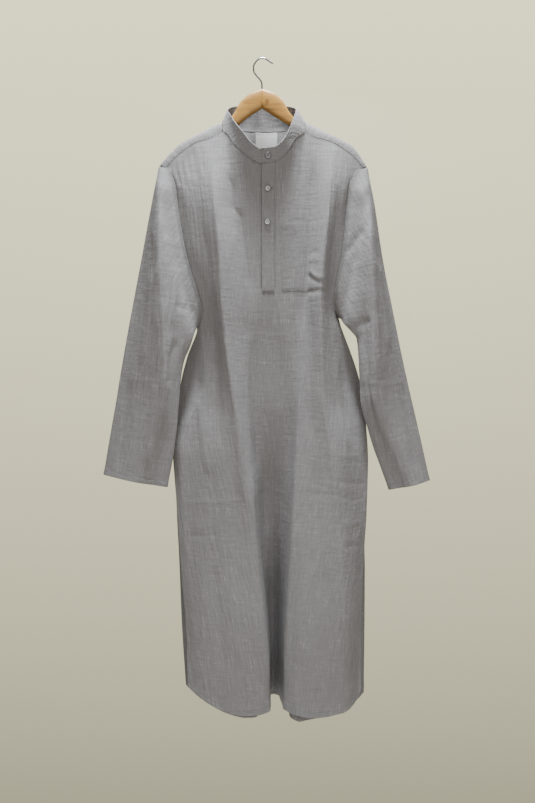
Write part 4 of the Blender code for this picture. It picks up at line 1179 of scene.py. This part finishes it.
def stitch_run(line, outs, length=STITCH_LENGTH, gap=STITCH_GAP):
    # places of stitches along a line of points: middle, direction and way out
    line = np.asarray(line, float)
    outs = np.asarray(outs, float)
    run = run_along(line)
    if run[-1] < length:
        return []
    count = max(1, int(run[-1] / (length + gap)))
    places = []
    for n in range(count):
        at = run[-1] * (n + 0.5) / count
        way = at_run(run, line, at + length / 2) - at_run(run, line, at - length / 2)
        size = np.linalg.norm(way)
        if size > 1e-6:
            out = at_run(run, outs, at)
            places.append((at_run(run, line, at), way / size, out / np.linalg.norm(out)))
    return places


def add_thread(verts, faces, stations):
    # a short three-sided thread through the stations, closed at both ends
    base = len(verts)
    for station in stations:
        verts.extend(station)
    for k in range(len(stations) - 1):
        a = base + 3 * k
        faces += [(a, a + 1, a + 4, a + 3), (a + 1, a + 2, a + 5, a + 4),
                  (a + 2, a, a + 3, a + 5)]
    end = base + 3 * (len(stations) - 1)
    faces += [(base, base + 2, base + 1), (end, end + 1, end + 2)]


def stitches(name, places, finish, length=STITCH_LENGTH, width=STITCH_WIDTH):
    # each stitch is a short thread that dips at both ends
    verts = []
    faces = []
    for middle, way, out in places:
        side = np.cross(way, out)
        stations = []
        for t, rise, half in STITCH_FORM:
            at = middle + way * (t * length)
            stations.append([at + side * (s * half * width) + out * (rise + h * 0.2 - 0.08)
                             for s, h in ((-1, 0.0), (0, 1.0), (1, 0.0))])
        add_thread(verts, faces, stations)
    return solid_mesh(name, verts, faces, [finish])


def solid_mesh(name, verts, faces, finishes, kinds=None):
    # a closed piece; kinds name the finish of each face
    mesh = bpy.data.meshes.new(name)
    mesh.from_pydata([tuple(v * MM) for v in verts], [], faces)
    if kinds is not None:
        mesh.polygons.foreach_set("material_index", kinds)
    return outward_faces(place_mesh(name, mesh, finishes))


def row_at(points, normals, distances, depth):
    # the line on a panel where its distance from an edge has the given value
    line = []
    outs = []
    for j in range(points.shape[1]):
        order = np.argsort(distances[:, j])
        run = distances[order, j]
        line.append(at_run(run, points[order, j], depth))
        outs.append(at_run(run, normals[order, j], depth))
    return np.array(line), np.array(outs)


def column_at(points, normals, distances, depth):
    return row_at(points.transpose(1, 0, 2), normals.transpose(1, 0, 2), distances.T, depth)


def skin(points, normals, thick):
    # a tree to drop points on to the outer skin of a panel
    outer = points + normals * (thick / 2)
    rows, cols = outer.shape[:2]
    verts = [Vector(p) for p in outer.reshape(-1, 3)]
    faces = []
    for i in range(rows - 1):
        for j in range(cols - 1):
            a = i * cols + j
            faces.append((a, a + 1, a + cols + 1, a + cols))
    return BVHTree.FromPolygons(verts, faces)


def drop(tree, line, spacing=2.0):
    # points on a skin, straight behind a line of x, z points
    line = np.asarray(line, float)
    run = run_along(line)
    spots = []
    outs = []
    for at in np.linspace(0, run[-1], max(3, int(run[-1] / spacing))):
        x, z = at_run(run, line, at)
        hit, normal, _, _ = tree.ray_cast(Vector((x, -200, z)), Vector((0, 1, 0)))
        if hit is None:
            continue
        spots.append(tuple(hit))
        outs.append(tuple(-normal if normal.y > 0 else normal))
    return spots, outs


def dropped_stitches(tree, lines):
    places = []
    for line in lines:
        spots, outs = drop(tree, line)
        if len(spots) > 1:
            places += stitch_run(spots, outs)
    return places


def claim(piece, slot_name, replaced=True):
    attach(piece, "root")
    if replaced:
        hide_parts(slot_name)
    return piece


def turned_edges(points):
    # the hem at the bottom and the turned edges of the slits
    relief = hem_relief(from_edge(points)) * (points[..., 2] < HEM_ZONE)
    for last in (True, False):
        relief += hem_relief(from_side(points, last), SLIT_DEPTH) * (points[..., 2] < SLIT_ZONE)
    return relief


def front_panel(finish, seam):
    grid = front_grid(seam)
    points, rows, cols = refine(grid, *FRONT_MESH, crisp=0.75)
    relief = creases(points, FRONT_CREASES) + ripples(points, 0.4) + turned_edges(points)
    hold = ease(from_edge(points, last=False) / FRONT_HOLD)
    points = points + normals_of(points) * (relief * hold)[..., None]
    normals = normals_of(points)
    # the armholes' seams get painted shade, the sides below them do not
    upper = np.where(points[..., 2] > ARMHOLE_ZONE, 0.0, 40.0)
    edges = [(SEAM_SHADE, from_side(points, last) + upper) for last in (True, False)]
    edges.append((NECK_SHADE, from_edge(points, last=False)))
    edges.append((STITCH_SHADE, np.abs(from_edge(points) - HEM_DEPTH)))
    shade = shade_of(points, FRONT_SHADES, edges)
    piece = wall_mesh("kurta_front", points, normals, SHEET_THICK, finish, shade=shade)
    return Made(claim(piece, "front"), points, normals, rows, cols, grid)


def back_panel(finish, grid):
    points = refine(grid, *BACK_MESH, crisp=0.4)[0]
    relief = creases(points, BACK_CREASES) + ripples(points, 2.9) + turned_edges(points)
    hold = ease(from_edge(points, last=False) / BACK_HOLD - 1)
    points = points - normals_of(points) * (relief * hold)[..., None]
    normals = normals_of(points)
    # painted shade below the neckline and along both side edges
    rim = np.minimum(from_side(points, True), from_side(points, False))
    shade = shade_of(points, (), ((BACK_NECK_SHADE, from_edge(points, last=False)),
                                  (BACK_RIM_SHADE, rim)))
    piece = wall_mesh("kurta_back", points, normals, SHEET_THICK, finish, shade=shade)
    return Made(claim(piece, "back"), points, normals)


def sleeve_uv(points, side):
    # the grain runs straight down the sleeve and square across it
    rows = SLEEVE[side]
    top = np.array([rows[2][0] + rows[2][2], rows[2][1] + rows[2][3]]) / 2
    foot = np.array([rows[-1][0] + rows[-1][2], rows[-1][1] + rows[-1][3]]) / 2
    down = (foot - top) / np.linalg.norm(foot - top)
    looped = np.concatenate([points, points[:, :1]], axis=1)
    flat = looped[..., (0, 2)] - top
    along_it = flat @ down
    aside = flat @ np.array([-down[1], down[0]])
    steps = np.hypot(np.diff(aside, axis=1), np.diff(looped[..., 1], axis=1))
    run = np.concatenate([np.zeros((len(points), 1)), np.cumsum(steps, axis=1)], axis=1)
    way = 1.0 if side == "l" else -1.0
    return np.stack([aside[:, :1] * way + run, along_it], axis=2) * MM


def sleeve_relief(points, normals, side):
    # creases in front, the other sleeve's mirrored behind, crinkles and cuff
    facing = ease(-normals[..., 1] * 2 + 0.3)
    relief = creases(points, SLEEVE_CREASES[side]) * facing
    other = SLEEVE_CREASES["r" if side == "l" else "l"]
    relief += creases(points * np.array([-1, 1, 1]), other) * (1 - facing) * 0.8
    relief += ripples(points, 1.3 if side == "l" else 4.1, closed=True)
    relief += hem_relief(from_edge(points), CUFF_DEPTH)
    head = from_edge(points, last=False)
    return relief * ease(head / HEAD_HOLD) + 0.5 * np.exp(-((head - 2.0) / 2.0) ** 2)


def sleeve(side, name, slot_name, finish):
    points = refine(sleeve_rings(side), *SLEEVE_MESH, closed=True)[0]

    def axis(p):
        return p.mean(axis=1, keepdims=True)

    normals = normals_of(points, closed=True, outward=axis)
    head = from_edge(points, last=False)
    points = points + normals * sleeve_relief(points, normals, side)[..., None]
    # the head is drawn in under the armhole's edge, more so over the shoulder
    inward = 1.0 if side == "l" else -1.0
    tuck = ease(1 - head / HEAD_DRAWN)
    top = ease((points[..., 2] - HEAD_TOP) / HEAD_TOP_SPAN)
    points[..., 0] += inward * (HEAD_IN + HEAD_IN_TOP * top) * tuck
    points[..., 2] += HEAD_LIFT * top * ease(1 - head / 30.0)
    points[..., 1] -= np.sign(points[..., 1] - 3.0) * 0.5 * tuck
    normals = normals_of(points, closed=True, outward=axis)
    head = from_edge(points, last=False)
    # painted shade along the head's seam and the cuff's row of stitches
    shade = shade_of(points, (), ((HEAD_SHADE, np.abs(head - 5.0)),
                                  (STITCH_SHADE, np.abs(from_edge(points) - CUFF_DEPTH))))
    piece = wall_mesh(name, points, normals, SHEET_THICK, finish, closed=True,
                      uv=sleeve_uv(points, side), shade=shade)
    return Made(claim(piece, slot_name), points, normals)


def neck_axis(points):
    # the upright line in the middle of the neck, level with each point
    return np.array([4.0, 0.0, 0.0]) + points * (0, 0, 1)


def collar_band(finish, seat):
    points = refine(collar_grid(seat), *COLLAR_MESH)[0]
    down = points[0] - points[1]
    down /= np.linalg.norm(down, axis=1, keepdims=True)
    normals = normals_of(points, outward=neck_axis)
    # the lower edge runs on under the panels, further so behind the neck
    behind = ease((points[0, :, 1:2] - 2.0) / 8.0)
    points[0] += down * (COLLAR_DOWN + COLLAR_DOWN_BEHIND * behind)
    points[0] -= normals[0] * (COLLAR_IN + COLLAR_IN_BEHIND * behind)
    x = points[..., 0]
    up = from_edge(points)
    relief = 0.25 * np.sin(x / 5.3 + up / 19) + 0.2 * np.sin(x / 9.1 - up / 13 + 1)
    for distance in (up, from_edge(points, last=False)):
        relief -= 0.35 * np.exp(-((distance - 2.2) / 1.0) ** 2)
    points = points + normals_of(points, outward=neck_axis) * relief[..., None]
    normals = normals_of(points, outward=neck_axis)
    piece = wall_mesh("collar_band", points, normals, COLLAR_THICK, finish)
    return Made(claim(piece, "collar"), points, normals)


def laid_on(name, slot_name, finish, front, ahead, rows, cols):
    # a piece that lies on the front, made from the front's own points
    spot = (slice(rows[0], rows[1] + 1), slice(cols[0], cols[1] + 1))
    normals = front.normals[spot]
    points = front.points[spot] + normals * ahead[..., None]
    piece = wall_mesh(name, points, normals, BAND_THICK, finish)
    return Made(claim(piece, slot_name), points, normals)


def front_spot(front, left, right, top, end):
    # the front's rows and columns between two folds and two levels
    rows = [0 if z is None else front.rows[2 + LEVELS.index(z)] for z in (top, end)]
    cols = [front.cols[2 * FRONT_FOLDS.index(fold)] for fold in (left, right)]
    return rows, cols


def how_far_ahead(rows, cols, inside, **edges):
    # how far a laid-on piece stands off, with other values along its edges
    ahead = np.full((rows[1] - rows[0] + 1, cols[1] - cols[0] + 1), inside)
    ahead[:, 0] = edges["left"]
    ahead[:, -1] = edges["right"]
    if "top" in edges:
        ahead[0] = edges["top"]
    ahead[-1] = edges["end"]
    return ahead


def placket_strip(finish, front):
    rows, cols = front_spot(front, "placket_l", "placket_r", None, PLACKET_END)
    ahead = how_far_ahead(rows, cols, 1.3, left=1.0, right=0.7, end=0.9)
    return laid_on("placket_band", "placket", finish, front, ahead, rows, cols)


def pocket_patch(finish, front):
    rows, cols = front_spot(front, "wall_r", "slope_r", POCKET_TOP, POCKET_END)
    ahead = how_far_ahead(rows, cols, 0.35, left=0.0, right=0.0, top=0.1, end=-0.25)
    return laid_on("patch_pocket", "chest_pocket", finish, front, ahead, rows, cols)


def cloth_axes(out):
    # the level and the upright direction in the plane that out stands on
    right = Vector((1, 0, 0)) - out * out.x
    right.normalize()
    return right, out.cross(right)


def circle(centre, across, up, radius, count):
    turns = [2 * math.pi * s / count for s in range(count)]
    return [centre + across * (radius * math.cos(t)) + up * (radius * math.sin(t))
            for t in turns]


def ring_faces(rings, base):
    count = len(rings[0])
    faces = [tuple(base + s for s in reversed(range(count)))]
    for k in range(len(rings) - 1):
        for s in range(count):
            n = (s + 1) % count
            a = base + k * count
            b = base + (k + 1) * count
            faces.append((a + s, a + n, b + n, b + s))
    last = base + (len(rings) - 1) * count
    faces.append(tuple(last + s for s in range(count)))
    return faces


# A button turned about its axis, and its holes: radius, height
BUTTON_PROFILE = ((5.4, -1.2), (6.2, -0.9), (6.5, -0.1), (6.45, 0.6), (6.1, 1.1), (5.5, 1.25),
                  (4.95, 1.05), (4.5, 0.62), (4.0, 0.45), (2.6, 0.36), (1.0, 0.34))
HOLE_PROFILE = ((0.62, 0.2), (0.62, 0.42), (0.5, 0.45))
HOLE_AT = 1.35             # each hole's distance from both middle lines
BUTTON_OFF = 1.2           # the profile's height 0 off the cloth
# painted shade: these first rings take the dark rim finish
SHADED_RIM_RINGS = 6             # the profile's first rings have the edge's finish
# The threads over a button: place along one and height, then half width and height
YARN_HEIGHT = 0.62
YARN_FORM = ((-1.7, -0.3), (-1.2, 0.1), (1.2, 0.1), (1.7, -0.3))
YARN_SECTION = ((-0.34, -0.1), (0.0, 0.2), (0.34, -0.1))


def sewn_button(name, slot_name, place, out, finishes):
    # a turned disc with four holes and two threads; the finishes are those of
    # the body, the holes, the threads and the edge; holes and edge are dark as painted shade
    verts = []
    faces = []
    kinds = []
    right, up = cloth_axes(out)
    turned = [(BUTTON_PROFILE, place, 40)]
    for sx in (-HOLE_AT, HOLE_AT):
        for sy in (-HOLE_AT, HOLE_AT):
            turned.append((HOLE_PROFILE, place + right * sx + up * sy, 12))
    for profile, centre, count in turned:
        rings = [circle(centre + out * height, right, up, radius, count)
                 for radius, height in profile]
        made = ring_faces(rings, len(verts))
        # painted shade: the disc's base and first rings take the dark rim finish
        edge = 1 + SHADED_RIM_RINGS * count if profile is BUTTON_PROFILE else 0
        kinds += [3] * edge + [0 if edge else 1] * (len(made) - edge)
        faces += made
        verts += [v for ring in rings for v in ring]
    for sx in (-HOLE_AT, HOLE_AT):
        middle = place + right * sx + out * YARN_HEIGHT
        before = len(faces)
        add_thread(verts, faces, [
            [middle + up * t + right * w + out * (h + rise) for w, rise in YARN_SECTION]
            for t, h in YARN_FORM])
        kinds += [2] * (len(faces) - before)
    return claim(solid_mesh(name, verts, faces, finishes, kinds), slot_name)


def buttonhole(name, tree, x, z, finish):
    # close stitches round a short level slot, whose end shows past the button
    places = []
    for side in (-0.9, 0.9):
        spots, outs = drop(tree, [(x - 1.5, z + side), (x + 10.5, z + side)], 1.0)
        places += stitch_run(spots, outs, 0.7, 0.15)
    turned = [(middle, np.cross(way, out), out) for middle, way, out in places]
    return claim(stitches(name, turned, finish, 1.5, 0.5), "placket", replaced=False)


def ring_solid(name, rings, finish, slot_name):
    verts = [v for ring in rings for v in ring]
    return claim(solid_mesh(name, verts, ring_faces(rings, 0), [finish]), slot_name)


def rounded(value, power):
    return math.copysign(abs(value) ** power, value)


def hanger_arm(side, name, slot_name, finish):
    # a bar of rounded section whose tip narrows, mitred at the middle
    out = -1 if side == "l" else 1
    at, tops, lows = zip(*HANGER[side])
    count = 28
    rings = []
    for x in np.concatenate([[0.0, 0.7, 1.4], np.linspace(2.4, at[-1], 96)]):
        top = smooth_curve(at, tops, x)
        low = smooth_curve(at, lows, x)
        tip = math.sqrt(max(0.02, 1 - max(0.0, 1 - (at[-1] - x) / 7.0) ** 2))
        mitre = min(1.0, 0.90 + 0.10 * x / 1.4)
        wide = HANGER_HALF * tip * mitre
        middle = (top + low) / 2
        half = (top - low) / 2 * (0.35 + 0.65 * tip) * (0.5 + 0.5 * mitre)
        ring = []
        for s in range(count):
            turn = 2 * math.pi * s / count
            ring.append(Vector((max(x, 0.05) * out, wide * rounded(math.cos(turn), 0.62),
                                middle + half * rounded(math.sin(turn), 0.72))))
        rings.append(ring)
    return ring_solid(name, rings, finish, slot_name)


def wire_hook(finish):
    # round wire along the hook's line, with a rounded free end
    path = evenly([Vector((x, 0, z)) for x, z in HOOK], 120)
    side = Vector((0, 1, 0))
    rings = []
    for n, p in enumerate(path):
        way = path[min(n + 1, len(path) - 1)] - path[max(n - 1, 0)]
        way.normalize()
        end = len(path) - 1 - n
        radius = WIRE_RADIUS * (math.sqrt(1 - (1 - end / 4.0) ** 2) if 0 < end < 4 else 1.0)
        if end == 0:
            radius = WIRE_RADIUS * 0.35
        rings.append(circle(p, side, way.cross(side), radius, 20))
    return ring_solid("wire_hook", rings, finish, "hook")


def sew(name, places, yarn, slot_name):
    return claim(stitches(name, places, yarn), slot_name, replaced=False)


def sewn_row(line, ways, thick):
    return stitch_run(line + ways * (thick / 2), ways)


def panel_stitches(name, panel, yarn, slot_name):
    # one row along the hem, and one up each side of the slits
    points = panel.points
    line, ways = row_at(points, panel.normals, from_edge(points), HEM_DEPTH - 1.5)
    places = sewn_row(line, ways, SHEET_THICK)
    for side, last in (("l", False), ("r", True)):
        line, ways = column_at(points, panel.normals, from_side(points, last), SLIT_DEPTH - 1.5)
        slit = line[:, 2] < SLIT_FRONT[side][0][0]
        places += sewn_row(line[slit], ways[slit], SHEET_THICK)
    return sew(name, places, yarn, slot_name)


def cuff_stitches(name, made, yarn, slot_name):
    line, ways = row_at(made.points, made.normals, from_edge(made.points), CUFF_DEPTH - 1.5)
    line = np.concatenate([line, line[:1]])
    ways = np.concatenate([ways, ways[:1]])
    return sew(name, sewn_row(line, ways, SHEET_THICK), yarn, slot_name)


def pocket_stitches(patch, yarn):
    # sides, foot and the turned top edge
    points = patch.points
    places = []
    for last, depth in ((True, 2.2), (False, 14.0)):
        line, ways = row_at(points, patch.normals, from_edge(points, last), depth)
        places += sewn_row(line, ways, BAND_THICK)
    for last in (True, False):
        line, ways = column_at(points, patch.normals, from_side(points, last), 2.2)
        places += sewn_row(line, ways, BAND_THICK)
    return sew("pocket_stitches", places, yarn, "chest_pocket")


def collar_stitches(collar, yarn):
    places = []
    for last, depth in ((True, 2.4), (False, 4.2)):
        distance = from_edge(collar.points, last)
        line, ways = row_at(collar.points, collar.normals, distance, depth)
        places += sewn_row(line, ways, COLLAR_THICK)
    return sew("collar_stitches", places, yarn, "collar")


def placket_stitches(strip_skin, yarn):
    # both sides, and a crossed box at the foot
    low = -464
    high = -436
    left = 2.2
    right = 21.8
    places = dropped_stitches(strip_skin, (
        ((left, -226), (left, low)), ((right, -224), (right, low)),
        ((left, low), (right, low)), ((left, high), (right, high)),
        ((left, high), (right, low)), ((left, low), (right, high))))
    return sew("placket_stitches", places, yarn, "placket")


def neck_label(finish, yarn, back):
    rows = 18
    cols = 26
    grid = []
    outs = []
    for z in np.linspace(LABEL_TOP, LABEL_BOTTOM, rows + 1):
        line = [nearest_on(back, x, z) for x in np.linspace(LABEL_LEFT, LABEL_RIGHT, cols + 1)]
        grid.append([spot + normal * LABEL_OFF for spot, normal in line])
        outs.append([normal for spot, normal in line])
    points = np.array(grid)
    normals = np.array(outs)
    # its free lower part waves a little
    wave = 0.4 * np.sin(points[..., 0] / 9.0) * np.linspace(0, 1, rows + 1)[:, None]
    points = points + normals * wave[..., None]
    piece = wall_mesh("blank_neck_label", points, normals, LABEL_THICK, finish)
    top = points + normals * 0.3
    places = []
    for edge in ((1, slice(None)), (-2, slice(None)), (slice(None), 1), (slice(None), -2)):
        places += stitch_run(top[edge], normals[edge], 2.0, 0.9)
    claim(piece, "neck_label")
    return Made(piece, points, normals), sew("label_stitches", places, yarn, "neck_label")


def nearest_on(panel, x, z):
    # the place on a panel that is nearest to this x and z, seen from the front
    points = panel.points
    d = (points[..., 0] - x) ** 2 + (points[..., 2] - z) ** 2
    i, j = np.unravel_index(np.argmin(d), d.shape)
    near = (slice(max(i - 1, 0), i + 2), slice(max(j - 1, 0), j + 2))
    w = 1 / (d[near] + 1.0)
    depth = (points[near][..., 1] * w).sum() / w.sum()
    normal = panel.normals[near].mean(axis=(0, 1))
    return np.array([x, depth, z]), normal / np.linalg.norm(normal)


# The setting, in metres. Lamps: name, place, target, size, power, colour
FLOOR_Z = -1.95
WALL_Y = 2.9
LAMPS = (
    ("lamp_above", (0.011, -0.235, 0.95), (0.0, -0.05, -0.8), 0.26, 98, (0.93, 0.975, 1.0)),
    ("behind", (0.3, 2.2, 1.9), (0.0, 0.05, -0.6), 1.0, 55, (1.0, 0.99, 0.97)),
    ("room", (0.2, -2.0, -0.3), (0.0, 0.0, -0.9), 1.2, 17, (1.0, 0.965, 0.91)),
)
CAMERA_PLACE = (0.011, -1.35, -0.685)
CAMERA_LENS = 30.26
CAMERA_SENSOR = 36


def stage_plane(name, corners, finish):
    mesh = bpy.data.meshes.new(name)
    mesh.from_pydata(corners, [], [(0, 1, 2, 3)])
    mesh.materials.append(finish)
    plane = bpy.data.objects.new(name, mesh)
    bpy.context.scene.collection.objects.link(plane)


def studio():
    floor_finish, _, shader, _ = new_material("pale_floor")
    settle(shader, Base_Color=(0.62, 0.60, 0.54, 1), Roughness=0.9)
    stage_plane("floor", [(-2.2, -2.6, FLOOR_Z), (2.2, -2.6, FLOOR_Z), (2.2, 0.75, FLOOR_Z),
                          (-2.2, 0.75, FLOOR_Z)], floor_finish)
    stage_plane("wall", [(-3.4, WALL_Y, -3.6), (3.4, WALL_Y, -3.6), (3.4, WALL_Y, 2.2),
                         (-3.4, WALL_Y, 2.2)], glowing_wall())
    world = bpy.data.worlds.new("room")
    bpy.context.scene.world = world
    world.use_nodes = True
    settle(world.node_tree.nodes["Background"], Color=(1.0, 0.96, 0.92, 1), Strength=0.42)
    for lamp in LAMPS:
        area_light(*lamp)


def glowing_wall():
    # a pale wall that glows by itself, with painted light: brighter at the top, darker towards
    # the bottom
    made, tree, shader, place = new_material("pale_plaster")
    split = tree.nodes.new("ShaderNodeSeparateXYZ")
    tree.links.new(place, split.inputs[0])
    height = settle(tree.nodes.new("ShaderNodeMapRange"), From_Min=-3.2, From_Max=1.9)
    tree.links.new(split.outputs["Z"], height.inputs["Value"])
    colour = ramp(tree, height.outputs["Result"], ((0.0, (0.30, 0.285, 0.18)),
                                                   (1.0, (1.05, 0.995, 0.63))))
    tree.links.new(colour, shader.inputs["Emission Color"])
    settle(shader, Emission_Strength=1.45, Base_Color=(0.1, 0.1, 0.1, 1), Roughness=1.0)
    return made


def area_light(name, place, target, size, power, colour):
    lamp = bpy.data.lights.new(name, "AREA")
    lamp.size = size
    lamp.energy = power
    lamp.color = colour
    made = bpy.data.objects.new(name, lamp)
    made.location = place
    made.rotation_euler = (Vector(target) - Vector(place)).to_track_quat("-Z", "Y").to_euler()
    bpy.context.scene.collection.objects.link(made)


def camera():
    lens = bpy.data.cameras.new("camera")
    lens.sensor_width = CAMERA_SENSOR
    lens.lens = CAMERA_LENS
    made = bpy.data.objects.new("camera", lens)
    made.location = CAMERA_PLACE
    made.rotation_euler = (math.radians(90), 0, 0)
    bpy.context.scene.collection.objects.link(made)
    bpy.context.scene.camera = made


def garment():
    # the cloth pieces, each laid on or set against the ones before
    trim = slub_cloth("slub_linen_trim", 67.0)
    back_rows = back_grid()
    back = back_panel(slub_cloth("slub_linen_back", 21.0), back_rows)
    front = front_panel(slub_cloth("slub_linen"), back_rows[0])
    linen_sleeve = slub_cloth("slub_linen_sleeve", 43.0)
    left = sleeve("l", "kurta_sleeve_left", "sleeve_left", linen_sleeve)
    right = sleeve("r", "kurta_sleeve_right", "sleeve_right", linen_sleeve)
    seat = collar_seat(front.grid, surface_normals_of(front.grid), back_rows,
                       surface_normals_of(back_rows))
    collar = collar_band(trim, seat)
    strip = placket_strip(trim, front)
    # painted shade: the pocket's linen is a copy made 6% darker
    patch = pocket_patch(slub_cloth("slub_linen_pocket", 67.0, 0.94), front)
    return front, back, left, right, collar, strip, patch


def fasten(strip_skin, collar, yarn):
    # the buttons and the buttonhole whose end shows
    # the rim and hole finishes are dark as painted shade
    resin = button_finish("button_resin", RESIN)
    edge = button_finish("button_edge", RESIN_RIM_SHADE)
    grey = button_finish("button_grey", RESIN_GREY)
    holes = button_finish("button_holes", RESIN_HOLE_SHADOW)
    for name, x, z in BUTTONS:
        place, out = button_place(strip_skin, x, z)
        sewn_button("shirt_" + name, name, place, out, [resin, holes, yarn, edge])
        if name == BUTTONHOLE_OF:
            buttonhole("hole_for_" + name, strip_skin, x + 0.5, z + 0.5, yarn)
    lap = slice(-34, None)
    collar_skin = skin(collar.points[:, lap], collar.normals[:, lap], COLLAR_THICK)
    name, x = COLLAR_BUTTON
    place, out = button_place(collar_skin, x, COLLAR_BUTTON_Z)
    sewn_button("shirt_" + name, name, place, out, [grey, holes, yarn, edge])


def button_place(tree, x, z):
    # where a button's middle stands off the cloth, and its axis
    place, out = drop(tree, ((x, z), (x, z - 0.1)))
    out = Vector(out[0]).normalized()
    return Vector(place[0]) + out * BUTTON_OFF, out


def build():
    front, back, left, right, collar, strip, patch = garment()
    yarn = thread_finish("sewing_thread", SEWING_THREAD)
    strip_skin = skin(strip.points, strip.normals, BAND_THICK)
    placket_sewing = placket_stitches(strip_skin, yarn)
    fasten(strip_skin, collar, thread_finish("dark_thread", DARK_THREAD))
    collar_sewing = collar_stitches(collar, yarn)
    front_sewing = panel_stitches("front_stitches", front, yarn, "front")
    back_sewing = panel_stitches("back_stitches", back, yarn, "back")
    left_sewing = cuff_stitches("cuff_stitches_left", left, yarn, "sleeve_left")
    right_sewing = cuff_stitches("cuff_stitches_right", right, yarn, "sleeve_right")
    pocket_sewing = pocket_stitches(patch, yarn)
    label, label_sewing = neck_label(label_finish("woven_label"),
                                     thread_finish("label_thread", LABEL_THREAD), back)
    hanger_arm("l", "wood_arm_left", "hanger_left", wood_finish("pine_left", 0.0))
    hanger_arm("r", "wood_arm_right", "hanger_right",
               wood_finish("pine_right", 17.0, KNOT))
    wire_hook(steel_finish("satin_steel"))

    studio()
    camera()


def surface_normals_of(grid):
    found = normals_of(as_array(grid))
    return [[Vector(n) for n in line] for line in found]


build()
